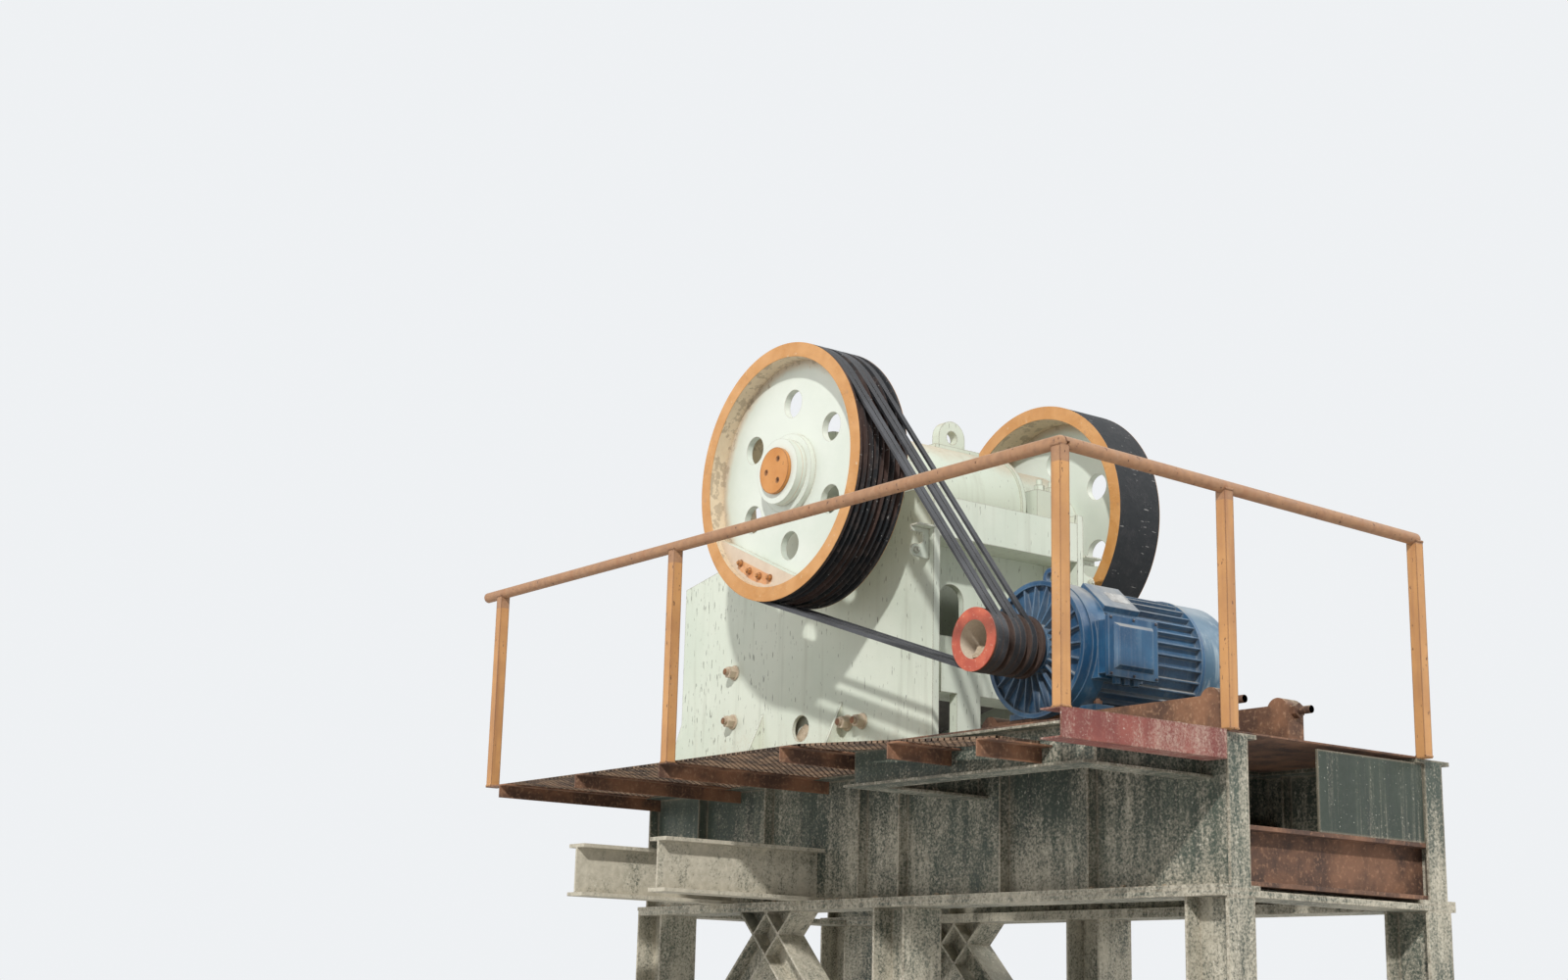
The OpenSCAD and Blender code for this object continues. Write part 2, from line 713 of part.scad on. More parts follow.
// Rear wall with its two arched openings
rear_wall_x = wall_step_x - rear_wall_t;
arch_r = 90;
arch_y = 250;
arch_l = 200;
arch_h = 780;
module rear_wall() {
    color("beige") placed() difference() {
        slab([rear_wall_x, -wall_in, deck_h + lower_beam_z + lower_beam_h],
            [wall_step_x, wall_in, deck_h + beam_top_h]);
        both_sides() along_x(rear_wall_x - 1, wall_step_x + 1) translate([arch_y, deck_h + arch_h]) {
            translate([0, arch_l]) circle(r = arch_r);
            translate([-arch_r, 0]) square([2 * arch_r, arch_l]);
        }
    }
}

// Box beam below the rear wall, with a lug on each side for a tension rod
spring_x0 = wall_rear - 60;
lug_w = 170;
lug_t = 60;
module rear_lower_beam() {
    beam_z = deck_h + lower_beam_z;
    color("beige") placed() {
        along_y(-wall_in, wall_in) difference() {
            translate([rear_wall_x, beam_z]) square([spring_x0 - rear_wall_x, lower_beam_h]);
            translate([rear_wall_x + beam_t, beam_z + beam_t])
                square([spring_x0 - rear_wall_x - 2 * beam_t, lower_beam_h - 2 * beam_t]);
        }
        both_sides() difference() {
            slab([spring_x0 - lug_t, tension_y - lug_w / 2, deck_h + pad_t],
                [spring_x0, tension_y + lug_w / 2, beam_z]);
            translate([spring_x0 - lug_t - 1, tension_y, deck_h + tension_h]) rotate([0, 90, 0])
                cylinder(h = lug_t + 2, r = tension_r + throw + rod_clear);
        }
    }
}

// Toothed plate outline, drawn with its flat back at y = 0 and its teeth up
tooth_w = 2 * jaw_half / teeth;
tooth_profile = [0.1, 0.35, 0.65, 0.9];
module jaw_plate_outline() {
    back = jaw_plate_t - tooth_d;
    polygon(concat([[-jaw_half, 0]],
        [for (i = [0 : teeth - 1], k = [0 : 3])
            [-jaw_half + (i + tooth_profile[k]) * tooth_w, back + (k == 1 || k == 2 ? tooth_d : 0)]],
        [[jaw_half, 0]]));
}
module fixed_jaw_plate() {
    color("dimgray") placed() translate([fixed_face_x - jaw_plate_t, 0, deck_h + jaw_bottom_h]) rotate(-90)
        linear_extrude(jaw_top_h - jaw_bottom_h) jaw_plate_outline();
}

// Wear plates on the inside of the side walls, between the jaws
cheek_gap = 5;
cheek_foot = 20;
module cheek_plates() {
    x0 = fixed_face_x - jaw_plate_t + cheek_gap;
    color("dimgray") placed() both_sides() along_y(wall_in - cheek_t, wall_in) polygon([
        [x0, deck_h + jaw_bottom_h], [swing_bottom_x - cheek_foot, deck_h + jaw_bottom_h],
        [swing_top_x, deck_h + jaw_top_h], [x0, deck_h + jaw_top_h]]);
}

// Bearing housing: a ring seated in the side wall, with its cap lugs and their studs
lug_reach = 80;
lug_z = 90;
cap_stud_r = 18;
cap_stud_l = 70;
module bearing_housing() {
    y1 = wheel_in - wheel_gap;
    y_lug = wall_in + wall_w / 2;
    difference() {
        union() {
            translate([0, wall_in, shaft_z]) rotate([-90, 0, 0]) cylinder(h = y1 - wall_in, r = housing_r);
            for (s = [-1, 1]) {
                slab([s * (housing_r + lug_reach / 2) - lug_reach, wall_in, deck_h + wall_top_h],
                    [s * (housing_r + lug_reach / 2) + lug_reach, wall_out + lug_reach, shaft_z + lug_z]);
                for (y = [y_lug, wall_out + lug_reach / 2])
                    translate([s * (housing_r + lug_reach), y, shaft_z + lug_z]) {
                    cylinder(h = cap_stud_l, r = cap_stud_r);
                    cylinder(h = cap_stud_l / 2, r = cap_stud_r * nut_k, $fn = 6);
                }
            }
        }
        translate([0, wall_in - 1, shaft_z]) rotate([-90, 0, 0])
            cylinder(h = y1 - wall_in + 2, r = journal_r + shaft_clear);
    }
}
module near_bearing_housing() { color("beige") placed() mirror([0, 1, 0]) bearing_housing(); }
module far_bearing_housing() { color("beige") placed() bearing_housing(); }

// Swing jaw casting, hung on the eccentric, which is at the bottom of its turn.
// Its back is drawn from the barrel down, in X and Z from the jaw's axis.
jaw_back = [[-320, 0], [280, -120], [60, -420], [-300, -975]];
seat_x = toggle_front_x + 10;
seat_half_h = 120;
jaw_foot_x = -560;
jaw_foot_h = 70;
jaw_foot_run = 60;
rod_block = 35;
rod_block_l = 80;
jaw_axis_z = shaft_z - throw;
eye_y = 120;
eye_r = 100;
eye_t = 60;
eye_hole_r = 40;
eye_base_w = 160;
eye_base_l = 340;
eye_z = jaw_axis_z + barrel_r + 85;
barrel_rib_w = 30;
barrel_rib_h = 14;
module swing_jaw() {
    lean = tan(jaw_lean);
    back = jaw_plate_t / cos(jaw_lean);
    color("beige") placed() difference() {
        union() {
            along_y(-jaw_half, jaw_half) polygon(concat(
                [[swing_bottom_x + back, deck_h + jaw_bottom_h], [swing_top_x + back, deck_h + jaw_top_h]],
                [for (p = jaw_back) [p[0], jaw_axis_z + p[1]]],
                [[seat_x, deck_h + toggle_front_h + seat_half_h],
                    [seat_x, deck_h + toggle_front_h - seat_half_h],
                [jaw_foot_x, deck_h + jaw_bottom_h - jaw_foot_h],
                [swing_bottom_x + back + jaw_foot_run, deck_h + jaw_bottom_h - jaw_foot_h]]));
            translate([0, -jaw_half, jaw_axis_z]) rotate([-90, 0, 0])
                cylinder(h = 2 * jaw_half, r = barrel_r);
            translate([-eye_t / 2, eye_y, eye_z]) rotate([0, 90, 0]) cylinder(h = eye_t, r = eye_r);
            slab([-eye_t / 2, eye_y - eye_r, jaw_axis_z + barrel_r - eye_t],
                [eye_t / 2, eye_y + eye_r, eye_z]);
            slab([-eye_base_w / 2, eye_y - eye_base_l / 2, jaw_axis_z + barrel_r - eye_t],
                [eye_base_w / 2, eye_y + eye_base_l / 2, jaw_axis_z + barrel_r + eye_t / 4]);
            both_sides() translate([0, jaw_half, jaw_axis_z]) rotate([90, 0, 0])
                cylinder(h = barrel_rib_w, r = barrel_r + barrel_rib_h);
            both_sides() slab([rod_front_x - rod_block_l, tension_y - rod_block,
                deck_h + tension_h - throw - rod_block],
                [rod_front_x, tension_y + rod_block, deck_h + jaw_bottom_h - jaw_foot_h + mesh_gap]);
        }
        translate([0, -jaw_half - 1, jaw_axis_z]) rotate([-90, 0, 0])
            cylinder(h = 2 * jaw_half + 2, r = eccentric_r + shaft_clear);
        translate([-eye_base_w, eye_y, eye_z]) rotate([0, 90, 0])
            cylinder(h = 2 * eye_base_w, r = eye_hole_r);
        translate([toggle_front_x, -jaw_half - 1, deck_h + toggle_front_h - throw]) rotate([-90, 0, 0])
            cylinder(h = 2 * jaw_half + 2, r = toggle_t / 2 + toggle_gap);
    }
}
module swing_jaw_plate() {
    len = (jaw_top_h - jaw_bottom_h) / cos(jaw_lean);
    color("dimgray") placed()
        translate([swing_bottom_x + jaw_plate_t / cos(jaw_lean) - seat_gap, 0, deck_h + jaw_bottom_h])
        rotate([0, jaw_lean, 0]) rotate(90) linear_extrude(len - jaw_plate_t * tan(jaw_lean))
            jaw_plate_outline();
}

// Toggle plate with round ends, and the block that it bears on
toggle_angle = atan2(toggle_rear_h - toggle_front_h, toggle_rear_x - toggle_front_x);
toggle_len = norm([toggle_rear_x - toggle_front_x, toggle_rear_h - toggle_front_h]);
toggle_side = 20;
toggle_half = jaw_half - toggle_side;
block_front = 10;
block_half_h = 110;
block_mouth = 60;
block_side = 5;
mouth_gap = 12;
module toggle_plate() {
    color("gray") placed() translate([toggle_front_x, 0, deck_h + toggle_front_h])
        rotate([0, -toggle_angle, 0])
        along_y(-toggle_half, toggle_half) {
            circle(r = toggle_t / 2);
            translate([toggle_len, 0]) circle(r = toggle_t / 2);
            translate([0, -toggle_t / 2]) square([toggle_len, toggle_t]);
        }
}
module toggle_block() {
    color("beige") placed() difference() {
        slab([toggle_rear_x - block_front, -wall_in, deck_h + toggle_rear_h - block_half_h],
            [rear_wall_x, wall_in, deck_h + toggle_rear_h + block_half_h]);
        translate([toggle_rear_x, -toggle_half - block_side, deck_h + toggle_rear_h]) rotate([-90, 0, 0])
            cylinder(h = 2 * (toggle_half + block_side), r = toggle_t / 2 + seat_gap);
        translate([toggle_rear_x, -toggle_half - block_side, deck_h + toggle_rear_h])
            rotate([0, -toggle_angle, 0]) translate([-block_mouth, 0, -toggle_t / 2 - mouth_gap])
                cube([block_mouth, 2 * (toggle_half + block_side), toggle_t + 2 * mouth_gap]);
    }
}

// Rods that pull the jaw back on the toggle, each with its nut, and their springs.
// The jaw rests at the bottom of its orbit, so its rods lie one throw below the springs' axes.
tension_h = 125;
rod_front_x = -540;
rod_clear = 12;
rod_slack = 5;
rod_washer_t = 20;
rod_nut_t = 30;
rod_end = 70;
spring_l = 180;
module tension_rods() {
    x1 = spring_x0 + spring_l + throw + rod_slack;
    color("gray") placed() both_sides()
        translate([0, tension_y, deck_h + tension_h - throw]) rotate([0, 90, 0]) {
            translate([0, 0, rod_front_x]) cylinder(h = x1 - rod_front_x + rod_end, r = tension_r);
            translate([0, 0, x1]) cylinder(h = rod_washer_t, r = spring_r);
            translate([0, 0, x1 + rod_washer_t]) cylinder(h = rod_nut_t, r = tension_r * nut_k, $fn = 6);
        }
}
// Coil of round wire along Z, swept ring by ring
module coil(r, wire_r, turns, length) {
    steps = turns * 16;
    sides = 8;
    rise = (length - 2 * wire_r) / steps;
    points = [for (i = [0 : steps], k = [0 : sides - 1])
        let (a = i * 360 / 16, b = k * 360 / sides, d = r + wire_r * cos(b))
            [d * cos(a), d * sin(a), wire_r * (1 + sin(b)) + i * rise]];
    faces = concat([[for (k = [0 : sides - 1]) k]],
        [for (i = [0 : steps - 1], k = [0 : sides - 1])
            let (n = (k + 1) % sides, low = i * sides, high = low + sides)
                [low + k, high + k, high + n, low + n]],
        [[for (k = [sides - 1 : -1 : 0]) steps * sides + k]]);
    polyhedron(points, faces);
}
module tension_springs() {
    color("dimgray") placed() both_sides()
        translate([spring_x0, tension_y, deck_h + tension_h]) rotate([0, 90, 0])
            coil(spring_r - spring_wire_r, spring_wire_r, spring_turns, spring_l);
}

// Shaft with its eccentric part between the side walls
collar = 20;
module eccentric_shaft() {
    color("silver") placed() union() {
        translate([0, -wheel_face_y, shaft_z]) rotate([-90, 0, 0])
            cylinder(h = 2 * wheel_face_y, r = shaft_end_r);
        translate([0, -jaw_half - collar, jaw_axis_z]) rotate([-90, 0, 0])
            cylinder(h = 2 * (jaw_half + collar), r = eccentric_r);
        translate([0, -wheel_in + collar / 2, shaft_z]) rotate([-90, 0, 0])
            cylinder(h = 2 * wheel_in - collar, r = journal_r);
    }
}

// A wheel's section is drawn with X as radius and Y from its inner to its outer face
web_y0 = wheel_w - web_setback - web_disc_t;
web_top = web_y0 + web_disc_t;
module v_groove(r, y) {
    slope = tan(groove_angle / 2);
    polygon([[r + 1, y - groove_w / 2 - slope], [r + 1, y + groove_w / 2 + slope],
        [r - groove_d, y + groove_w / 2 - groove_d * slope],
            [r - groove_d, y - groove_w / 2 + groove_d * slope]]);
}
groove_margin = (wheel_w - (grooves - 1) * groove_pitch) / 2;
function groove_y(i) = wheel_w - groove_margin - i * groove_pitch;

// Wheel turned about Z, its outer face at z = wheel_w, with its counterweight
module wheel_blank(grooved) {
    rotate(weight_angle) translate([0, 0, web_top]) linear_extrude(weight_t) intersection() {
        circle(r = wheel_r - rim_t + 1);
        translate([weight_d, -wheel_r]) square([wheel_r, 2 * wheel_r]);
    }
    difference() {
        rotate_extrude() difference() {
            translate([shaft_end_r, 0]) square([wheel_r - shaft_end_r, wheel_w]);
            translate([hub_r, web_top + hub_step_h]) square([wheel_r - rim_t - hub_r, wheel_w]);
            translate([hub_step_r, web_top]) square([wheel_r - rim_t - hub_step_r, wheel_w]);
            translate([hub_r, -1]) square([wheel_r - rim_t - hub_r, web_y0 + 1]);
            if (grooved) for (i = [0 : grooves - 1]) v_groove(wheel_r, groove_y(i));
        }
        for (i = [0 : web_holes - 1]) rotate(90 + i * 360 / web_holes)
            translate([web_hole_pitch_r, 0, web_y0 - 1]) cylinder(h = web_disc_t + 2, r = web_hole_r);
    }
}

// Turns a part made along Z so that its top faces -Y
module facing_near(y) { translate([0, y, shaft_z]) rotate([90, 0, 0]) children(); }
module facing_far(y) { translate([0, y, shaft_z]) rotate([-90, 0, 0]) children(); }
module pulley_wheel() { color("beige") placed() facing_near(-wheel_in) wheel_blank(true); }
module flywheel() { color("beige") placed() facing_far(wheel_in) mirror([0, 1, 0]) wheel_blank(false); }
module end_cap() {
    difference() {
        cylinder(h = cap_t, r = cap_r);
        for (a = [60, 180, 300]) rotate(a) translate([cap_pitch_r, 0, cap_t / 4])
            cylinder(h = cap_t, r = cap_hole_r);
    }
}
module shaft_end_caps() {
    color("chocolate") placed() {
        facing_near(-wheel_face_y) end_cap();
        facing_far(wheel_face_y) end_cap();
    }
}

// Pulley on the motor shaft, with a conical bore in its face
bore_z = 180;
bore_inner_r = 70;
bore_outer_r = 95;
module motor_pulley() {
    color("tomato") placed() translate([motor_x, -wheel_in, motor_z]) rotate([90, 0, 0])
        rotate_extrude() difference() {
            translate([motor_shaft_r, 0]) square([motor_pulley_r, wheel_w]);
            translate([motor_pulley_r, -1]) square([motor_pulley_r, wheel_w + 2]);
            polygon([[0, bore_z], [bore_inner_r, bore_z], [bore_outer_r, wheel_w + 1], [0, wheel_w + 1]]);
            for (i = [0 : grooves - 1]) v_groove(motor_pulley_r, groove_y(i));
        }
}

// V-belt round both pulleys: two arcs and two straight runs, with a whole number of hundredths
// in its span and of thousandths in its angle, so that the runs end where the arcs begin
belt_dx = motor_x;
belt_dz = motor_z - shaft_z;
belt_span = round(100 * norm([belt_dx, belt_dz])) / 100;
belt_dir = atan2(belt_dz, belt_dx);
belt_wrap = round(1000 * asin((wheel_r - motor_pulley_r) / belt_span)) / 1000;
belt_run = belt_span * cos(belt_wrap);
belt_small_r = wheel_r - belt_span * sin(belt_wrap);
module belt_section(r) {
    slope = tan(groove_angle / 2);
    top = groove_w / 2 - belt_clear;
    bottom = top - belt_h * slope;
    polygon([[r, -top], [r, top], [r - belt_h, bottom], [r - belt_h, -bottom]]);
}
module belt() {
    lean = 90 - belt_wrap;
    rotate([90, 0, 0]) rotate(belt_dir) {
        rotate(lean) rotate_extrude(angle = 360 - 2 * lean, $fn = 96) belt_section(wheel_r);
        translate([belt_span, 0, 0]) rotate(-lean) rotate_extrude(angle = 2 * lean)
            belt_section(belt_small_r);
        for (s = [-1, 1]) rotate(s * lean) rotate([s * 90, 0, 0]) linear_extrude(belt_run)
            belt_section(wheel_r);
    }
}
module drive_belts() {
    color("black") placed() for (i = belt_grooves)
        translate([0, -wheel_in - groove_y(i), shaft_z]) belt();
}

// Motor: finned frame with its feet and the seat of its terminal box
box_seat = motor_r + 5;
feet_angle = 35;
foot_reach = 50;
foot_half_l = 60;
motor_foot_t = 30;
foot_rib_x = 190;
foot_hole_r = 14;
ring_l = 120;
fin_inset = 5;
ring_w = 25;
hood_w = 200;
hood_rise = 12;
hood_angle = 42;
eye_hole = 24;
seat_depth = 60;
eye_w = 26;
box_y0 = motor_front_y + 120;
shield_l = 90;
fan_cover_l = 250;
frame_y0 = motor_front_y + shield_l;
frame_y1 = motor_front_y + motor_l - fan_cover_l;
foot_y = frame_y0 + 120;
module motor_frame() {
    core_r = motor_r - fin_h;
    color("steelblue") placed() translate([motor_x, 0, motor_z]) {
        difference() {
            union() {
                along_y(frame_y0, frame_y1) {
                    circle(r = core_r);
                    for (i = [0 : fins - 1]) if (abs(i * 360 / fins - 270) > feet_angle)
                        rotate(i * 360 / fins) translate([core_r - fin_inset, -fin_t / 2])
                            square([fin_h, fin_t]);
                }
                for (y = [frame_y0, frame_y1 - ring_w]) translate([0, y, 0]) rotate([-90, 0, 0])
                    cylinder(h = y == frame_y0 ? ring_l : ring_w, r = motor_r);
                slab([core_r - seat_depth, box_y0, box_z0 - fin_h / 2],
                    [box_seat, box_y0 + box_l, box_z0 + box_h]);
                rotate([0, -90 + hood_angle, 0])
                    slab([core_r - seat_depth, frame_y0 + ring_l - 5, -hood_w / 2],
                    [motor_r + hood_rise, box_y0 + box_l + 30, hood_w / 2]);
                translate([0, frame_y0 + (ring_l - eye_w) / 2, motor_r + eye_hole + fin_inset])
                    rotate([-90, 0, 0]) difference() {
                    cylinder(h = eye_w, r = 2 * eye_hole);
                    translate([0, 0, -1]) cylinder(h = eye_w + 2, r = eye_hole);
                }
                for (y = [foot_y, foot_y + foot_pitch_y]) {
                    slab([-foot_pitch_x / 2 - foot_reach, y - foot_half_l, -motor_shaft_h],
                        [foot_pitch_x / 2 + foot_reach, y + foot_half_l, -motor_shaft_h + motor_foot_t]);
                    for (s = [-1, 1]) slab([s * foot_rib_x - fin_t, y - foot_half_l + fin_t,
                        -motor_shaft_h + fin_t],
                        [s * foot_rib_x + fin_t, y + foot_half_l - fin_t, -foot_rib_x]);
                }
            }
            translate([0, frame_y0 - 1, 0]) rotate([-90, 0, 0])
                cylinder(h = motor_l, r = motor_shaft_r + motor_clear);
            slab([-motor_r, frame_y0 - 1, -2 * motor_r], [motor_r, frame_y1 + 1, -motor_shaft_h]);
            for (y = [foot_y, foot_y + foot_pitch_y], s = [-1, 1])
                translate([s * foot_pitch_x / 2, y, -motor_shaft_h - 1])
                    cylinder(h = motor_foot_t + 2, r = foot_hole_r);
        }
    }
}
shield_ribs = 24;
shield_r = motor_r - 5;
shield_in_r = motor_r - 30;
shield_rim_l = 55;
shield_disc_t = 30;
bearing_cap_r = 130;
module motor_end_shield() {
    bore_r = motor_shaft_r + motor_clear;
    rib_z = shield_disc_t - fin_t / 2;
    color("steelblue") placed() translate([motor_x, frame_y0, motor_z]) rotate([90, 0, 0]) union() {
        rotate_extrude() polygon([[bore_r, 0], [shield_r, 0], [shield_r, shield_rim_l],
            [shield_in_r, shield_rim_l],
            [shield_in_r, shield_disc_t], [bearing_cap_r, shield_disc_t], [bearing_cap_r, shield_l],
                [bore_r, shield_l]]);
        for (i = [0 : shield_ribs - 1]) rotate(i * 360 / shield_ribs) rotate([90, 0, 0])
            linear_extrude(fin_t, center = true)
                polygon([[bearing_cap_r - fin_t, rib_z], [shield_in_r + fin_t / 2, rib_z],
                [shield_in_r + fin_t / 2, shield_rim_l - fin_t / 2],
                    [bearing_cap_r - fin_t, shield_l - fin_t]]);
    }
}
cover_wall = 10;
cover_r = motor_r - 5;
cover_nose = 40;
cover_bevel = 30;
grille_pitch_r = 180;
grille_hole_r = 30;
module motor_fan_cover() {
    color("lightsteelblue") placed() translate([motor_x, frame_y1, motor_z]) rotate([-90, 0, 0])
        difference() {
        rotate_extrude() polygon([[0, 0], [cover_r, 0], [cover_r, fan_cover_l - cover_nose],
            [cover_r - cover_bevel, fan_cover_l], [0, fan_cover_l]]);
        translate([0, 0, -1]) cylinder(h = fan_cover_l - cover_nose + 1, r = cover_r - cover_wall);
        translate([0, 0, fan_cover_l - cover_nose - 1])
            cylinder(h = cover_nose + 1 - cover_wall, r = cover_r - cover_bevel - cover_wall);
        for (a = [0 : 30 : 330]) rotate(a)
            translate([grille_pitch_r, 0, fan_cover_l - 2 * cover_wall])
                cylinder(h = 3 * cover_wall, r = grille_hole_r);
    }
}
lid_t = 45;
lid_inset = 18;
lid_slope = 22;
gland_r = 22;
gland_l = 45;
gland_pitch = 62;
module motor_terminal_box() {
    lid_x = motor_x + box_reach;
    box_z = motor_z + box_z0;
    color("steelblue") placed() union() {
        slab([motor_x + box_seat, box_y0, box_z], [lid_x - lid_t, box_y0 + box_l, box_z + box_h]);
        slab([lid_x - lid_t, box_y0 - lid_inset, box_z - lid_inset],
            [lid_x - lid_slope, box_y0 + box_l + lid_inset, box_z + box_h + lid_inset]);
        hull() {
            slab([lid_x - lid_slope - 1, box_y0 + lid_inset, box_z + lid_inset],
                [lid_x - lid_slope, box_y0 + box_l - lid_inset, box_z + box_h - lid_inset]);
            slab([lid_x - 1, box_y0 + 2 * lid_inset, box_z + 2 * lid_inset],
                [lid_x, box_y0 + box_l - 2 * lid_inset, box_z + box_h - 2 * lid_inset]);
        }
        for (i = [-1, 0, 1]) translate([motor_x + (box_seat + box_reach - lid_t) / 2,
            box_y0 + box_l / 2 + i * gland_pitch,
            box_z - gland_l]) cylinder(h = gland_l, r = gland_r, $fn = 6);
    }
}
motor_shaft_in = 170;
motor_shaft_back = 60;
module motor_shaft() {
    color("silver") placed() translate([motor_x, -wheel_in - motor_shaft_in, motor_z]) rotate([-90, 0, 0])
        cylinder(h = wheel_in + motor_shaft_in + frame_y1 - motor_shaft_back, r = motor_shaft_r);
}

// Slide rails under the motor's feet, each with two end lugs and its tension screw
rail_front_l = 520;
rail_rear_l = 1080;
rail_side_t = 14;
lug_r = 62;
lug_h = 165;
lug_foot = 60;
screw_r = 18;
screw_l = 95;
module slide_rails() {
    z0 = deck_h + deck_t;
    x0 = motor_x - rail_front_l;
    x1 = motor_x + rail_rear_l;
    color("saddlebrown") placed() for (y = [foot_y, foot_y + foot_pitch_y]) {
        difference() {
            slab([x0, y - rail_w / 2, z0], [x1, y + rail_w / 2, motor_feet_z]);
            slab([x0 - 1, y - rail_w / 2 + rail_side_t, z0 - 1],
                [x1 + 1, y + rail_w / 2 - rail_side_t, motor_feet_z - rail_side_t]);
        }
        for (x = [x0 + lug_r, x1 - lug_r]) along_y(y - rail_w / 2, y + rail_w / 2) translate([x, z0]) {
            translate([0, lug_h]) circle(r = lug_r);
            polygon([[-lug_r, lug_h], [-lug_r - lug_foot * (x > motor_x ? 1 : 0), 0],
                [lug_r + lug_foot * (x > motor_x ? 0 : 1), 0], [lug_r, lug_h]]);
        }
        translate([x1 - lug_r, y, z0 + lug_h]) rotate([0, 90, 0])
            cylinder(h = lug_r + screw_l, r = screw_r);
        translate([x1, y, z0 + lug_h]) rotate([0, 90, 0])
            cylinder(h = screw_r * 1.5, r = screw_r * 2, $fn = 6);
    }
}

near_girder();
far_girder();
front_cross_beam();
motor_cross_beams();
rear_cross_beam();
rear_end_plate();
near_legs();
far_legs();
near_braces();
far_braces();
near_sill();
far_sill();
end_sills();
outriggers();
walkway_brackets();
edge_beam();
walkway_grating();
rear_channel();
deck_plates();
side_handrail();
rear_handrail();
near_side_wall();
far_side_wall();
front_wall();
rear_top_beam();
rear_wall();
rear_lower_beam();
fixed_jaw_plate();
cheek_plates();
near_bearing_housing();
far_bearing_housing();
swing_jaw();
swing_jaw_plate();
toggle_plate();
toggle_block();
tension_rods();
tension_springs();
eccentric_shaft();
pulley_wheel();
flywheel();
shaft_end_caps();
drive_belts();
motor_frame();
motor_end_shield();
motor_fan_cover();
motor_terminal_box();
motor_shaft();
motor_pulley();
slide_rails();
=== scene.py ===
# Jaw crusher on its steel stand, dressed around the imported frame
import math
import random

import bmesh
import bpy
from mathutils import Matrix, Vector, noise


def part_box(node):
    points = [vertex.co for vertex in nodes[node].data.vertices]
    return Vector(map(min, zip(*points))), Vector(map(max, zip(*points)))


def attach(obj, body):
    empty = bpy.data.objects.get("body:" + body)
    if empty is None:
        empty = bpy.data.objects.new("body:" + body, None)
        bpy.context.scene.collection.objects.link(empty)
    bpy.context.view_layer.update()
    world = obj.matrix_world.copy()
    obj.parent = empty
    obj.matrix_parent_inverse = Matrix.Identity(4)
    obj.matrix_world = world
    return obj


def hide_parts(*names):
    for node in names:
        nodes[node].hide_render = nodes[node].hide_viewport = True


print("Loading the frame")
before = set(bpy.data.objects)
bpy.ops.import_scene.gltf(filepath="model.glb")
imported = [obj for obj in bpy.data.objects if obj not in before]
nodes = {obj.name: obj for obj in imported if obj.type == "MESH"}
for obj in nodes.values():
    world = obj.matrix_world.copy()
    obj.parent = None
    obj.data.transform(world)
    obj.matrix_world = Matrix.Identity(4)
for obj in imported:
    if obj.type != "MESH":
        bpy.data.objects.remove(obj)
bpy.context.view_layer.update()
scene = bpy.context.scene
rng = random.Random(7)

# Added pieces are placed from the point on the ground below the middle of the shaft
shaft = Vector((-0.4725, 0.329, 4.5))
origin = Vector((shaft.x, shaft.y, 0.0))
motorAxis = {"x": 1.621, "z": 3.365}


# Camera, at the photograph's place and angle

camera = {
    "place": (8.747, -7.604, 1.603),
    "azimuth": 53.37,
    "elevation": -13.69,
    "roll": 1.475,
    "lens": 49.22,
    "sensor": 36.0,
    "reach": 200.0,
}


def addCamera(look):
    azimuth = math.radians(look["azimuth"])
    elevation = math.radians(look["elevation"])
    roll = math.radians(look["roll"])
    back = Vector((
        math.sin(azimuth) * math.cos(elevation),
        -math.cos(azimuth) * math.cos(elevation),
        math.sin(elevation),
    ))
    right = Vector((0, 0, 1)).cross(back).normalized()
    up = back.cross(right)
    tiltedRight = right * math.cos(roll) + up * math.sin(roll)
    tiltedUp = up * math.cos(roll) - right * math.sin(roll)
    bpy.ops.object.camera_add(location=look["place"])
    eye = bpy.context.object
    turn = Matrix((tiltedRight, tiltedUp, back)).transposed().to_4x4()
    eye.matrix_world = Matrix.Translation(look["place"]) @ turn
    eye.data.lens = look["lens"]
    eye.data.sensor_width = look["sensor"]
    eye.data.clip_end = look["reach"]
    scene.camera = eye


addCamera(camera)
print("Camera placed")


# Shader maths: a Wire is a socket that takes part in sums, and a Wiring is the node tree it is in

class Wire:
    def __init__(self, wiring, socket):
        self.wiring = wiring
        self.socket = socket

    def __add__(self, other):
        return self.wiring.maths("ADD", self, other)

    def __radd__(self, other):
        return self.wiring.maths("ADD", other, self)

    def __sub__(self, other):
        return self.wiring.maths("SUBTRACT", self, other)

    def __rsub__(self, other):
        return self.wiring.maths("SUBTRACT", other, self)

    def __mul__(self, other):
        return self.wiring.maths("MULTIPLY", self, other)

    def __rmul__(self, other):
        return self.wiring.maths("MULTIPLY", other, self)


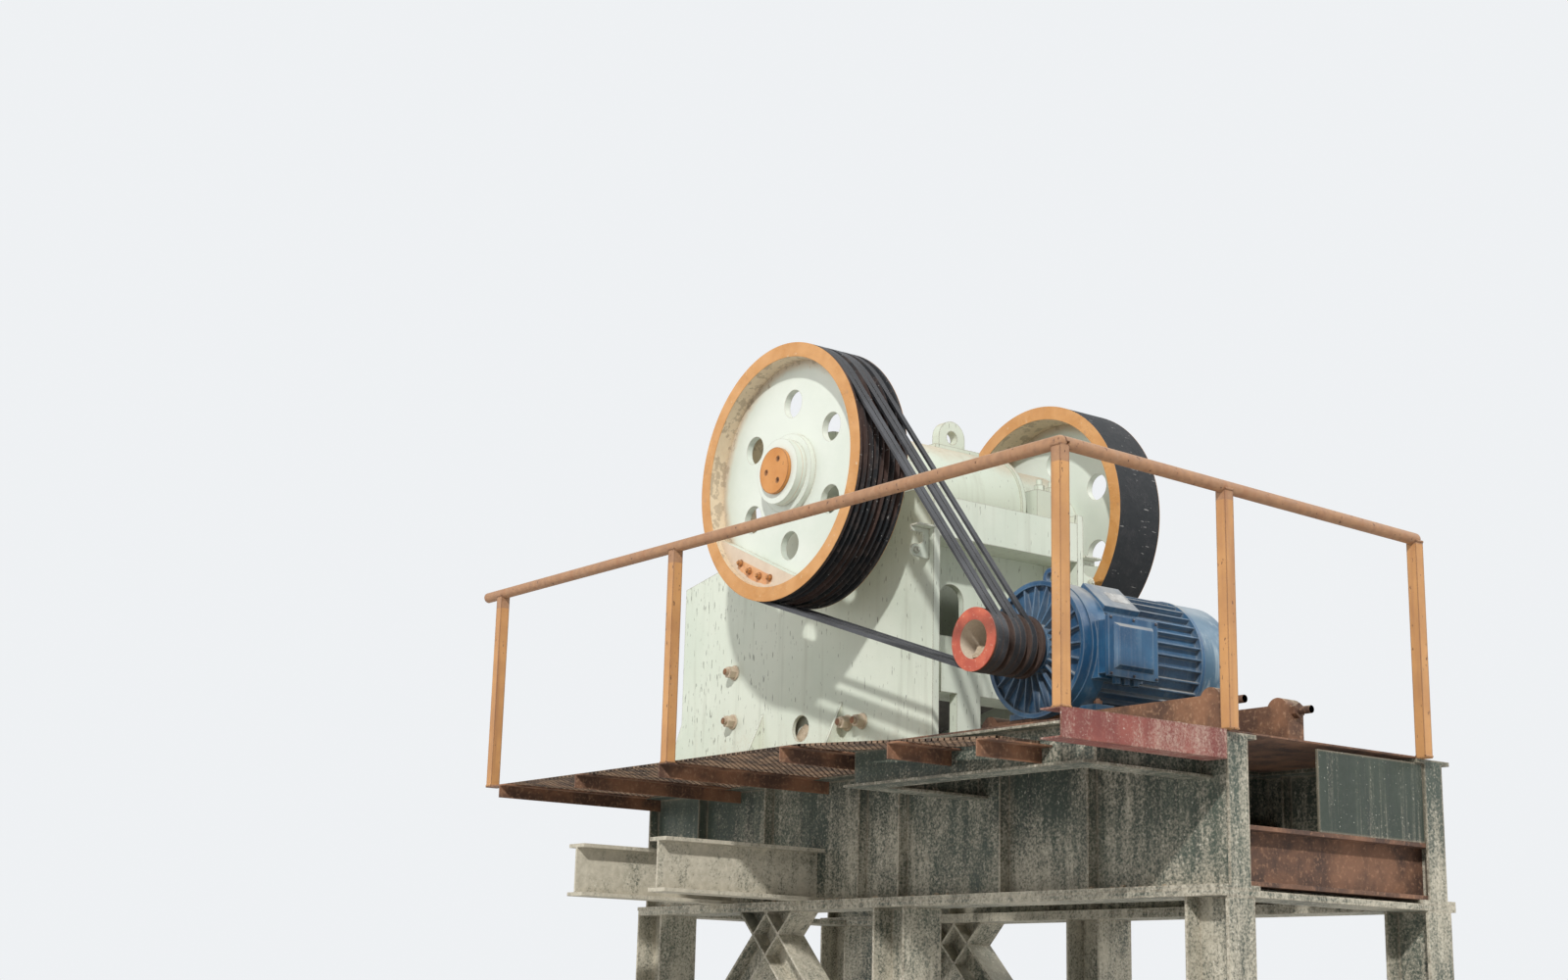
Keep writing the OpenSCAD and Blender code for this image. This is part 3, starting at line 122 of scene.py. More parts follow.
class Wiring:
    def __init__(self, tree):
        self.tree = tree

    # Any node: its settings first, then the values or wires of its sockets
    def node(self, kind, settings=None, inputs=None, out=0):
        made = self.tree.nodes.new("ShaderNode" + kind)
        for name, value in (settings or {}).items():
            setattr(made, name, value)
        for name, value in (inputs or {}).items():
            self.feed(made.inputs[name], value)
        return Wire(self, made.outputs[out])

    def feed(self, socket, value):
        if isinstance(value, Wire):
            self.tree.links.new(value.socket, socket)
        elif socket.type == "RGBA":
            socket.default_value = (*value, 1)
        else:
            socket.default_value = value

    def maths(self, kind, first, second=0.0):
        return self.node("Math", {"operation": kind}, {0: first, 1: second})

    def larger(self, first, second):
        return self.maths("MAXIMUM", first, second)

    def part(self, vector, axis):
        return self.node("SeparateXYZ", {}, {0: vector}, axis)

    # Smooth step from 0 at low to 1 at high
    def step(self, value, low, high):
        return self.node(
            "MapRange", {"interpolation_type": "SMOOTHSTEP"},
            {"Value": value, "From Min": low, "From Max": high})

    # 6, 7 and 2 are the colour sockets of a Mix node
    def mixed(self, mask, low, high):
        return self.node("Mix", {"data_type": "RGBA"}, {0: mask, 6: low, 7: high}, 2)


# One material, in the frame's own coordinates

class Finish(Wiring):
    def __init__(self, name):
        self.material = bpy.data.materials.new(name)
        self.material.use_nodes = True
        super().__init__(self.material.node_tree)
        self.surface = self.tree.nodes["Principled BSDF"]
        self.place = self.node("TexCoord", out="Object")
        self.facing = self.node("TexCoord", out="Normal")

    def noise(self, size, detail=4.0, stretch=None, roughness=0.55):
        where = self.place
        if stretch:
            where = self.node("Mapping", {}, {"Vector": where, "Scale": stretch})
        return self.node(
            "TexNoise", {},
            {"Vector": where, "Scale": 1.0 / size, "Detail": detail, "Roughness": roughness})

    # Distance from a line that runs across the machine
    def awayFrom(self, x, z):
        along = self.part(self.place, 0) - x
        up = self.part(self.place, 2) - z
        return self.maths("SQRT", along * along + up * up)

    # Distance from the plane through the middle of the shaft
    def awayFromMiddle(self):
        return self.maths("ABSOLUTE", self.part(self.place, 1) - shaft.y)

    # 1 near the edges of a solid, broken up by a noise
    def edges(self, width, amount):
        soft = self.node("Bevel", {"samples": 4}, {"Radius": width})
        flat = self.node("NewGeometry", out="True Normal")
        bend = 1.0 - self.node("VectorMath", {"operation": "DOT_PRODUCT"}, {0: soft, 1: flat}, "Value")
        return self.step(bend * 6.0 + self.noise(0.05, 5) * 1.2, 1.15 - amount, 1.45 - amount)

    # 1 in corners and under ledges
    def corners(self, reach):
        return 1.0 - self.node(
            "AmbientOcclusion", {"samples": 6, "only_local": True}, {"Distance": reach}, "AO")

    def close(self, color, roughness, height=None, depth=0.0, softEdge=0.0):
        self.feed(self.surface.inputs["Base Color"], color)
        self.feed(self.surface.inputs["Roughness"], roughness)
        if height is not None:
            soft = self.node("Bevel", {"samples": 4}, {"Radius": softEdge})
            bump = self.node(
                "Bump", {}, {"Height": height, "Distance": depth, "Strength": 1.0, "Normal": soft})
            self.feed(self.surface.inputs["Normal"], bump)
        return self.material


# Paint that has stood in stone dust for years. Each look further down changes some of these settings

paintLook = {
    "broad": 0.9, "runs": 0.35, "edgeWidth": 0.012, "edges": 0.1, "edgeShow": 0.8, "chips": 0.86,
    "dust": 0.62, "dustTop": 2.9, "dustFoot": 2.1, "dustGain": 0.14, "grain": 0.0, "splash": 0.7,
    "ledge": 0.85, "crevice": 0.5, "streaks": 0.3, "scratches": 0.0, "spots": 0.0,
    "rough": 0.42, "depth": 0.003, "softEdge": 0.004,
    "dustDark": (0.30, 0.25, 0.17), "dustLight": (0.52, 0.45, 0.33), "spot": (0.62, 0.60, 0.52),
    "rustDark": (0.045, 0.022, 0.015), "rust": (0.20, 0.085, 0.035),
}

# Studs that stand out of both side walls, with their threads
wallStuds = {
    "places": ((-1.141, 3.566), (-1.145, 3.272), (-0.050, 3.168), (0.079, 3.167)),
    "radius": 0.046, "wall": 0.562, "dark": (0.30, 0.18, 0.10), "light": (0.70, 0.58, 0.43),
    "threadFrom": 0.616, "threadTo": 0.6355, "core": 0.0190, "thread": 0.0206,
}


# 1 on the studs
def studMask(paint, look):
    mask = None
    for x, z in look["places"]:
        near = 1.0 - paint.step(paint.awayFrom(shaft.x + x, z), look["radius"], look["radius"] + 0.004)
        mask = near if mask is None else paint.larger(mask, near)
    return mask * paint.step(paint.awayFromMiddle(), look["wall"], look["wall"] + 0.002)


# 1 on the scratches, more of them towards the feed end
def scratchMask(paint, look, broad):
    start, end = look["scratchEnd"]
    front = 1.0 - paint.step(paint.part(paint.place, 0), start, end)
    return paint.step(
        paint.noise(0.012, 2, (1, 1, 0.16)) + broad * 0.2 + front * 0.05, 0.78, 0.81)


# Dust lies on ledges and in corners, splashes and runs down, and thickens towards the foot
def dustMask(paint, look, fine, grit, height):
    ledge = paint.step(paint.part(paint.facing, 2) + paint.noise(0.25, 5) * 0.5, 0.75, 1.15)
    crevice = paint.step(paint.corners(0.12) + fine * 0.3, 0.55, 0.95)
    low = 1.0 - paint.step(height, look["dustFoot"], look["dustTop"])
    cloud = (paint.noise(0.014, 6, roughness=0.8) * 0.5 + paint.noise(0.5, 4) * 0.35
             + paint.noise(0.05, 4, (1, 1, 0.12)) * 0.25 + low * look["dustGain"]
             + (grit - 0.5) * look["grain"])
    splash = paint.step(cloud, look["dust"] - 0.02, look["dust"] + 0.20)
    runs = paint.step(paint.noise(0.030, 5, (1, 1, 0.04)), 0.52, 0.70)
    streaks = runs * paint.step(cloud, 0.45, 0.75)
    return paint.larger(
        paint.larger(ledge * look["ledge"], crevice * look["crevice"]),
        paint.larger(splash * look["splash"], streaks * look["streaks"]))


def weatheredPaint(name, changes):
    look = {**paintLook, **changes}
    paint = Finish(name)
    height = paint.part(paint.place, 2)
    broad = paint.noise(look["broad"], 5)
    fine = paint.noise(0.035, 6)
    grit = paint.noise(0.012, 3)
    coat = paint.mixed(paint.step(broad, 0.35, 0.68), look["color"], look["second"])
    # Above a height the coat turns to another colour; on the handrail's pipe this is rust with painted
    # shade
    if "upper" in look:
        upper = look["upper"]
        above = paint.step(height, upper["from"], upper["from"] + 0.004)
        coat = paint.mixed(above * 0.9, coat, paint.mixed(fine, upper["dark"], upper["light"]))
    runs = paint.step(paint.noise(0.06, 5, (1, 1, 0.06)), 0.52, 0.75)
    coat = paint.mixed(runs * look["runs"], coat, look["stain"])
    worn = paint.edges(look["edgeWidth"], look["edges"]) * look["edgeShow"]
    specks = paint.noise(0.018, 3, (1, 1, 0.45)) + broad * 0.25
    chips = paint.step(specks, look["chips"], look["chips"] + 0.03)
    rust = paint.mixed(fine, look["rustDark"], look["rust"])
    coat = paint.mixed(paint.larger(worn, chips), coat, rust)
    if look["scratches"]:
        coat = paint.mixed(scratchMask(paint, look, broad) * look["scratches"], coat, look["scratch"])
    if "studs" in look:
        metal = paint.mixed(fine, look["studs"]["dark"], look["studs"]["light"])
        coat = paint.mixed(studMask(paint, look["studs"]) * 0.85, coat, metal)
    dusty = dustMask(paint, look, fine, grit, height)
    color = paint.mixed(dusty, coat, paint.mixed(fine, look["dustDark"], look["dustLight"]))
    if look["spots"]:
        color = paint.mixed(paint.step(grit, 0.69, 0.71) * look["spots"], color, look["spot"])
    rough = paint.step(fine + dusty * 0.6, -0.6, 1.4) * 0.45 + look["rough"]
    bump = fine * 0.35 + broad * 0.6 - chips * 0.35 + dusty * (grit * 0.25 + 0.15)
    return paint.close(color, rough, bump, look["depth"], look["softEdge"])


standLook = {
    "color": (0.036, 0.050, 0.038), "second": (0.066, 0.086, 0.064), "stain": (0.022, 0.028, 0.024),
    "runs": 0.7, "edges": 0.30, "edgeWidth": 0.02, "edgeShow": 0.75, "chips": 0.88,
    "dust": 0.54, "dustGain": 0.10, "grain": 0.30, "splash": 0.92, "ledge": 0.95, "crevice": 0.45,
    "streaks": 0.6, "spots": 0.8, "rustDark": (0.16, 0.12, 0.08), "rust": (0.44, 0.36, 0.26),
    "dustDark": (0.32, 0.285, 0.21), "dustLight": (0.72, 0.66, 0.53)}
standGreen = weatheredPaint("standGreen", standLook)
dustyGreen = weatheredPaint("dustyGreen", {**standLook, "dust": 0.44})
cleanGreen = weatheredPaint("cleanGreen", {
    **standLook, "color": (0.024, 0.034, 0.024), "second": (0.042, 0.056, 0.040),
    "edges": 0.12, "dust": 0.66, "streaks": 0.4})

creamPaint = weatheredPaint("creamPaint", {
    "color": (0.57, 0.62, 0.515), "second": (0.66, 0.69, 0.585), "stain": (0.46, 0.48, 0.39),
    "runs": 0.6, "edges": 0.05, "edgeShow": 0.6, "chips": 0.92, "dust": 0.64, "dustTop": 3.45,
    "dustFoot": 2.85, "dustGain": 0.11, "splash": 0.6, "ledge": 0.8, "crevice": 0.4, "streaks": 0.12,
    "scratches": 0.7, "scratch": (0.10, 0.095, 0.07), "scratchEnd": (-2.1, -1.5),
    "dustDark": (0.42, 0.34, 0.23), "dustLight": (0.66, 0.58, 0.45), "studs": wallStuds})

# The handrail's posts are brighter than its pipe, whose darker brown is rust with painted shade
railOchre = weatheredPaint("railOchre", {
    "color": (0.46, 0.225, 0.085), "second": (0.57, 0.29, 0.105), "stain": (0.33, 0.15, 0.07),
    "upper": {"from": 3.885, "dark": (0.19, 0.090, 0.050), "light": (0.50, 0.28, 0.15)},
    "broad": 0.25, "runs": 0.75, "edges": 0.1, "chips": 0.80, "dust": 0.60, "dustGain": 0.0,
    "splash": 0.6, "ledge": 0.5, "crevice": 0.4, "streaks": 0.25,
    "dustDark": (0.36, 0.22, 0.14), "dustLight": (0.62, 0.46, 0.34)})

redOxide = weatheredPaint("redOxide", {
    "color": (0.17, 0.038, 0.030), "second": (0.27, 0.075, 0.055), "stain": (0.10, 0.03, 0.025),
    "broad": 0.2, "runs": 0.4, "edges": 0.15, "chips": 0.84, "dust": 0.50, "dustGain": 0.0,
    "grain": 0.25, "splash": 0.85, "ledge": 0.85, "crevice": 0.5, "streaks": 0.4, "spots": 0.7,
    "dustDark": (0.34, 0.20, 0.15), "dustLight": (0.58, 0.44, 0.36)})

motorBlue = weatheredPaint("motorBlue", {
    "color": (0.008, 0.058, 0.135), "second": (0.018, 0.098, 0.20), "stain": (0.10, 0.18, 0.26),
    "broad": 0.22, "runs": 0.55, "edges": 0.16, "edgeShow": 0.45, "chips": 0.90, "dust": 0.62,
    "dustGain": 0.0, "splash": 0.5, "ledge": 0.8, "crevice": 0.30, "streaks": 0.3,
    "softEdge": 0.006, "rough": 0.28, "rustDark": (0.10, 0.14, 0.17), "rust": (0.36, 0.40, 0.42),
    "dustDark": (0.24, 0.24, 0.22), "dustLight": (0.54, 0.52, 0.47)})

fanBlue = weatheredPaint("fanBlue", {
    "color": (0.040, 0.105, 0.170), "second": (0.085, 0.165, 0.235), "stain": (0.33, 0.41, 0.46),
    "broad": 0.3, "runs": 0.9, "edges": 0.05, "chips": 0.93, "dust": 0.62, "dustGain": 0.0,
    "splash": 0.5, "ledge": 0.6, "crevice": 0.2, "streaks": 0.6, "softEdge": 0.006, "rough": 0.30,
    "dustDark": (0.34, 0.38, 0.40), "dustLight": (0.56, 0.60, 0.61)})

ochrePaint = weatheredPaint("ochrePaint", {
    "color": (0.52, 0.21, 0.05), "second": (0.60, 0.27, 0.08), "stain": (0.42, 0.17, 0.05),
    "broad": 0.2, "edges": 0.05, "chips": 0.84, "dust": 0.74, "dustGain": 0.0,
    "splash": 0.5, "ledge": 0.4, "crevice": 0.6, "streaks": 0.0,
    "dustDark": (0.45, 0.28, 0.15), "dustLight": (0.68, 0.52, 0.36)})


# Bare and rusty metal, and stone dust itself

def rustFinish(name, look):
    rust = Finish(name)
    broad = rust.noise(look["broad"], 6)
    fine = rust.noise(0.02, 6, roughness=0.65)
    coat = rust.mixed(rust.step(broad, 0.35, 0.66), look["dark"], look["color"])
    coat = rust.mixed(rust.step(fine, 0.5, 0.72) * 0.6, coat, look["light"])
    ledge = rust.part(rust.facing, 2) * look["ledge"]
    dusty = rust.step(ledge + rust.noise(0.12, 5) * 0.7 + fine * 0.3, 0.75, 1.15)
    dust = rust.mixed(fine, paintLook["dustDark"], paintLook["dustLight"])
    color = rust.mixed(dusty * look["dust"], coat, dust)
    return rust.close(
        color, fine * 0.25 + 0.65, fine * 0.6 + broad * 0.5, 0.003, look.get("softEdge", 0.003))


rustySteel = rustFinish("rustySteel", {
    "dark": (0.060, 0.032, 0.022), "color": (0.20, 0.098, 0.055), "light": (0.38, 0.21, 0.125),
    "broad": 0.22, "ledge": 0.5, "dust": 0.8})
orangeRust = rustFinish("orangeRust", {
    "dark": (0.10, 0.045, 0.022), "color": (0.30, 0.13, 0.05), "light": (0.42, 0.21, 0.09),
    "broad": 0.3, "ledge": 0.4, "dust": 0.5})
bracketRust = rustFinish("bracketRust", {
    "dark": (0.085, 0.042, 0.026), "color": (0.27, 0.130, 0.068), "light": (0.46, 0.28, 0.17),
    "broad": 0.22, "ledge": 0.5, "dust": 0.8})
meshSteel = rustFinish("meshSteel", {
    "dark": (0.045, 0.028, 0.020), "color": (0.22, 0.135, 0.080), "light": (0.46, 0.34, 0.23),
    "broad": 0.12, "ledge": 0.7, "dust": 0.9, "softEdge": 0.001})
manganeseSteel = rustFinish("manganeseSteel", {
    "dark": (0.06, 0.055, 0.05), "color": (0.12, 0.11, 0.10), "light": (0.20, 0.18, 0.16),
    "broad": 0.3, "ledge": 0.4, "dust": 0.6})
bareSteel = rustFinish("bareSteel", {
    "dark": (0.14, 0.12, 0.10), "color": (0.26, 0.24, 0.21), "light": (0.40, 0.37, 0.33),
    "broad": 0.2, "ledge": 0.3, "dust": 0.5})
plateMetal = rustFinish("plateMetal", {
    "dark": (0.30, 0.29, 0.27), "color": (0.50, 0.50, 0.48), "light": (0.62, 0.62, 0.60),
    "broad": 0.05, "ledge": 0.2, "dust": 0.3, "softEdge": 0.0005})
stoneDust = rustFinish("stoneDust", {
    "dark": (0.36, 0.28, 0.19), "color": (0.50, 0.40, 0.28), "light": (0.66, 0.55, 0.42),
    "broad": 0.05, "ledge": 0.1, "dust": 0.3, "softEdge": 0.001})


# Wheels: cream web, ochre rim face, and a tread of dark worn iron, darkened further as painted shade

wheel = {
    "radius": 0.725, "rimDepth": 0.08, "faceY": 1.130, "backY": 0.800, "grooves": 0.030,
    "weightY": 1.090, "weightLean": -114, "weightRadius": 0.645,
    "patchFrom": 0.560, "patchHalf": 0.19, "patchRadius": 0.632,
}


# The web, with beige dust on the inside of the rim and round the hub, and grime with painted shade
# darkening its corners
def webColor(paint, radius, broad, fine, coarse, crust, nearRim):
    inner = wheel["radius"] - wheel["rimDepth"]
    cream = paint.mixed(paint.step(broad, 0.35, 0.68), (0.60, 0.645, 0.56), (0.67, 0.70, 0.62))
    beige = paint.mixed(coarse, (0.36, 0.28, 0.18), (0.68, 0.57, 0.43))
    cream = paint.mixed(nearRim * 0.9, cream, beige)
    lining = paint.step(radius, inner - 0.006, inner - 0.002)
    pale = paint.mixed(coarse, (0.58, 0.44, 0.28), (0.84, 0.70, 0.51))
    cream = paint.mixed(lining * 0.85, cream, pale)
    cream = paint.mixed(crust * 0.55, cream, (0.28, 0.21, 0.14))
    # Corners and hollows of the web are darkened: grime with painted shade
    crevice = paint.step(paint.corners(0.05) + fine * 0.4, 0.62, 0.95)
    cream = paint.mixed(crevice * 0.7, cream, (0.34, 0.27, 0.18))
    return paint.mixed(paint.edges(0.01, 0.0) * 0.5, cream, (0.36, 0.30, 0.22))


def rimColor(paint, fine, coarse):
    ochre = paint.mixed(
        paint.step(paint.noise(0.12, 5), 0.35, 0.7), (0.52, 0.235, 0.06), (0.60, 0.30, 0.10))
    ochre = paint.mixed(paint.step(fine, 0.66, 0.72) * 0.6, ochre, (0.62, 0.48, 0.32))
    return paint.mixed(paint.step(coarse, 0.60, 0.68) * 0.45, ochre, (0.36, 0.19, 0.09))


# The counterweight's face is dusty, with a patch of ochre where it was ground and repainted
def weightColor(paint, radius, fine, coarse):
    lean = math.radians(wheel["weightLean"])
    x = paint.part(paint.place, 0) - shaft.x
    z = paint.part(paint.place, 2) - shaft.z
    along = x * math.cos(lean) + z * math.sin(lean)
    aside = paint.maths("ABSOLUTE", z * math.cos(lean) - x * math.sin(lean))
    half = wheel["patchHalf"]
    end = wheel["patchRadius"]
    patch = paint.step(along + coarse * 0.02, wheel["patchFrom"], wheel["patchFrom"] + 0.006)
    patch = patch * (1.0 - paint.step(aside + coarse * 0.05, half, half + 0.01))
    patch = patch * (1.0 - paint.step(radius + fine * 0.02, end, end + 0.006))
    dusty = paint.mixed(coarse, (0.50, 0.38, 0.27), (0.72, 0.60, 0.46))
    ochre = paint.mixed(paint.step(coarse, 0.35, 0.65), (0.56, 0.22, 0.07), (0.66, 0.38, 0.18))
    return paint.mixed(patch, dusty, ochre)


def treadColor(paint, grooved, broad, fine, coarse):
    blotches = paint.step(coarse, 0.45, 0.7)
    # Painted shade: the tread's worn iron is darkened to near-black, past its own colour
    iron = paint.mixed(blotches, (0.009, 0.011, 0.013), (0.022, 0.022, 0.024))
    if grooved:
        iron = paint.mixed(blotches * 0.6, iron, (0.075, 0.052, 0.042))
        bands = paint.step(paint.noise(0.2, 4, (0.2, 6, 0.2)), 0.5, 0.62)
        iron = paint.mixed(bands * 0.5, iron, (0.10, 0.045, 0.028))
    scratch = paint.step(paint.noise(0.014, 2, (1, 0.15, 1)) + broad * 0.2, 0.80, 0.83)
    specks = paint.step(fine, 0.68, 0.74)
    return paint.mixed(paint.larger(scratch, specks) * 0.6, iron, (0.38, 0.37, 0.35))


def wheelPaint(name, grooved):
    paint = Finish(name)
    radius = paint.awayFrom(shaft.x, shaft.z)
    across = paint.awayFromMiddle()
    broad = paint.noise(0.5, 5)
    fine = paint.noise(0.03, 6)
    coarse = paint.noise(0.09, 6, roughness=0.7)
    inner = wheel["radius"] - wheel["rimDepth"]
    nearRim = paint.step(radius + coarse * 0.06, inner - 0.035, inner + 0.022)
    crust = paint.step(coarse * 0.7 + fine * 0.4 + nearRim * 0.20, 0.76, 0.82)
    color = webColor(paint, radius, broad, fine, coarse, crust, nearRim)
    weightY = wheel["weightY"]
    onWeight = (
        paint.step(across, weightY - 0.002, weightY - 0.001)
        * (1.0 - paint.step(across, weightY + 0.002, weightY + 0.003))
        * (1.0 - paint.step(radius, wheel["weightRadius"] - 0.002, wheel["weightRadius"])))
    color = paint.mixed(onWeight, color, weightColor(paint, radius, fine, coarse))
    face = paint.larger(
        paint.step(across, wheel["faceY"] - 0.003, wheel["faceY"] - 0.002),
        1.0 - paint.step(across, wheel["backY"] + 0.002, wheel["backY"] + 0.003))
    color = paint.mixed(
        paint.step(radius, inner - 0.001, inner) * face, color, rimColor(paint, fine, coarse))
    treadFrom = wheel["radius"] - (wheel["grooves"] if grooved else 0.0015)
    tread = paint.step(radius, treadFrom, treadFrom + 0.001) * (1.0 - face)
    color = paint.mixed(tread, color, treadColor(paint, grooved, broad, fine, coarse))
    rough = fine * 0.2 + tread * 0.3 + 0.42
    return paint.close(color, rough, broad * 0.4 + fine * 0.4 + crust * 0.4, 0.002, 0.004)


pulleyWheelPaint = wheelPaint("pulleyWheelPaint", True)
flywheelPaint = wheelPaint("flywheelPaint", False)


def beltRubber():
    belt = Finish("beltRubber")
    fine = belt.noise(0.02, 6, roughness=0.7)
    broad = belt.noise(0.3, 4)
    color = belt.mixed(belt.step(broad, 0.4, 0.65), (0.020, 0.021, 0.024), (0.050, 0.052, 0.058))
    color = belt.mixed(belt.step(fine, 0.55, 0.8) * 0.7, color, (0.16, 0.155, 0.15))
    # Painted highlight: the belt edges are lightened
    color = belt.mixed(belt.edges(0.004, 0.1) * 0.6, color, (0.17, 0.165, 0.16))
    return belt.close(color, fine * 0.3 + 0.5, fine, 0.0015, 0.002)


rubber = beltRubber()


# Motor pulley: red outside, a dusty cream bore and dark grooves

motorPulley = {"faceY": shaft.y - 1.130, "faceDepth": 0.006, "bore": 0.0940, "grooves": 0.128}


def motorPulleyPaint(look):
    paint = Finish("motorPulleyPaint")
    radius = paint.awayFrom(shaft.x + motorAxis["x"], motorAxis["z"])
    fine = paint.noise(0.015, 6)
    red = paint.mixed(paint.step(paint.noise(0.06, 5), 0.35, 0.7), (0.42, 0.07, 0.035), (0.55, 0.12, 0.06))
    red = paint.mixed(paint.step(fine, 0.62, 0.7) * 0.5, red, (0.60, 0.40, 0.30))
    cream = paint.mixed(fine, (0.42, 0.34, 0.25), (0.66, 0.57, 0.45))
    color = paint.mixed(1.0 - paint.step(radius, look["bore"], look["bore"] + 0.0015), red, cream)
    iron = paint.mixed(fine, (0.025, 0.02, 0.018), (0.09, 0.05, 0.035))
    behind = look["faceY"] + look["faceDepth"]
    tread = (paint.step(radius, look["grooves"], look["grooves"] + 0.0005)
             * paint.step(paint.part(paint.place, 1), behind, behind + 0.001))
    color = paint.mixed(tread, color, iron)
    return paint.close(color, fine * 0.2 + 0.5, fine, 0.0015, 0.002)


pulleyPaint = motorPulleyPaint(motorPulley)
print("Materials made")


# Which finish each node takes

finishes = {
    standGreen: ["near_girder", "far_girder", "front_cross_beam", "motor_cross_beams",
                 "near_legs", "far_legs", "near_braces", "far_braces", "near_sill", "far_sill",
                 "end_sills", "edge_beam"],
    dustyGreen: ["outriggers"],
    cleanGreen: ["rear_end_plate"],
    rustySteel: ["rear_cross_beam", "walkway_grating", "deck_plates"],
    bracketRust: ["walkway_brackets", "slide_rails"],
    redOxide: ["rear_channel"],
    railOchre: ["side_handrail", "rear_handrail"],
    creamPaint: ["near_side_wall", "far_side_wall", "front_wall", "rear_top_beam", "rear_wall",
                 "rear_lower_beam", "near_bearing_housing", "far_bearing_housing", "swing_jaw",
                 "toggle_block"],
    manganeseSteel: ["fixed_jaw_plate", "cheek_plates", "swing_jaw_plate", "toggle_plate"],
    bareSteel: ["tension_rods", "tension_springs", "eccentric_shaft", "motor_shaft"],
    pulleyWheelPaint: ["pulley_wheel"],
    flywheelPaint: ["flywheel"],
    ochrePaint: ["shaft_end_caps"],
    rubber: ["drive_belts"],
    motorBlue: ["motor_frame", "motor_end_shield", "motor_terminal_box"],
    fanBlue: ["motor_fan_cover"],
    pulleyPaint: ["motor_pulley"],
}


def dress(piece, material):
    piece.data.materials.clear()
    piece.data.materials.append(material)


for material, names in finishes.items():
    for name in names:
        dress(nodes[name], material)
print("Frame nodes dressed")


# Hand tools for the added pieces

def clearSelection():
    if bpy.context.object and bpy.context.object.mode != "OBJECT":
        bpy.ops.object.mode_set(mode="OBJECT")
    bpy.ops.object.select_all(action="DESELECT")


def pick(pieces):
    clearSelection()
    for piece in pieces:
        piece.select_set(True)
    bpy.context.view_layer.objects.active = pieces[0]


def applyPlace():
    bpy.ops.object.transform_apply(location=True, rotation=True, scale=True)


# Edit mode with only the upward faces selected
def selectTop(piece):
    pick([piece])
    bpy.ops.object.mode_set(mode="EDIT")
    bpy.ops.mesh.select_mode(type="FACE")
    bpy.ops.mesh.select_all(action="DESELECT")
    shape = bmesh.from_edit_mesh(piece.data)
    for face in shape.faces:
        if face.normal.z > 0.9:
            face.select_set(True)
    bmesh.update_edit_mesh(piece.data)


def applyModifier(piece, kind, **settings):
    modifier = piece.modifiers.new(kind.title(), kind)
    for name, value in settings.items():
        setattr(modifier, name, value)
    pick([piece])
    bpy.ops.object.modifier_apply(modifier=modifier.name)


# Cuts away what lies outside a plane and closes the cut
def trim(piece, place, outward):
    pick([piece])
    bpy.ops.object.mode_set(mode="EDIT")
    bpy.ops.mesh.select_all(action="SELECT")
    bpy.ops.mesh.bisect(plane_co=place, plane_no=outward, clear_outer=True, use_fill=True)
    bpy.ops.object.mode_set(mode="OBJECT")


# Joins pieces into one, with its place in its mesh, and hangs it on a body
def seat(name, pieces, body, material, angle=35.0):
    pick(pieces)
    if len(pieces) > 1:
        bpy.ops.object.join()
    whole = bpy.context.object
    applyPlace()
    bpy.ops.object.shade_smooth_by_angle(angle=math.radians(angle))
    whole.name = name
    whole.data.name = name
    dress(whole, material)
    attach(whole, body)
    return whole


# A copy with its own mesh, its local Z turned to an axis
def copyTo(model, place, axis, spin, size):
    twin = model.copy()
    twin.data = model.data.copy()
    scene.collection.objects.link(twin)
    turn = Vector(axis).to_track_quat("Z", "Y").to_matrix().to_4x4()
    twin.data.transform(
        Matrix.Translation(origin + Vector(place)) @ turn
        @ Matrix.Rotation(spin, 4, "Z") @ Matrix.Scale(size, 4))
    return twin


# Hexagon nut on its washer with the stud's end above it, 1 across its corners' radius

hexNut = {
    "washer": 1.25, "washerHeight": 0.22, "height": 0.85, "stud": 0.55, "studHeight": 0.45,
    "chamfer": 0.14, "crown": 0.09, "flat": 0.30,
}


def addDisc(sides, radius, low, high):
    clearSelection()
    bpy.ops.mesh.primitive_cylinder_add(
        vertices=sides, radius=radius, depth=high - low, location=(0, 0, (low + high) / 2))
    applyPlace()
    return bpy.context.object


def makeHexNut(look):
    low = look["washerHeight"]
    top = low + look["height"]
    washer = addDisc(24, look["washer"], 0, low)
    body = addDisc(6, 1.0, low, top)
    selectTop(body)
    bpy.ops.mesh.inset(thickness=look["chamfer"], depth=look["crown"])
    bpy.ops.mesh.inset(thickness=look["flat"])
    bpy.ops.object.mode_set(mode="OBJECT")
    seatTop = top + look["crown"]
    stud = addDisc(14, look["stud"], seatTop - 0.2, seatTop + look["studHeight"])
    for piece, width in ((washer, 0.05), (stud, 0.08)):
        applyModifier(piece, "BEVEL", width=width, segments=1)
    pick([body, washer, stud])
    bpy.ops.object.join()
    return bpy.context.object


# Socket screw sunk in a round hole, 1 in radius

socketHead = {"height": 0.9, "steps": ((0.10, 0.06), (0.32, 0.0), (0.02, -0.45))}


def makeSocketScrew(look):
    screw = addDisc(20, 1.0, 0, look["height"])
    selectTop(screw)
    for inset, rise in look["steps"]:
        bpy.ops.mesh.inset(thickness=inset, depth=rise)
    bpy.ops.object.mode_set(mode="OBJECT")
    return screw


# Plate cut to an outline in its own X and Y, thick along its Z
def makePlate(outline, thickness, bevel):
    mesh = bpy.data.meshes.new("plate")
    mesh.from_pydata([(x, y, 0.0) for x, y in outline], [], [list(range(len(outline)))])
    plate = bpy.data.objects.new("plate", mesh)
    scene.collection.objects.link(plate)
    applyModifier(plate, "SOLIDIFY", thickness=thickness, offset=0.0)
    applyModifier(plate, "BEVEL", width=bevel, segments=1, limit_method="ANGLE")
    return plate


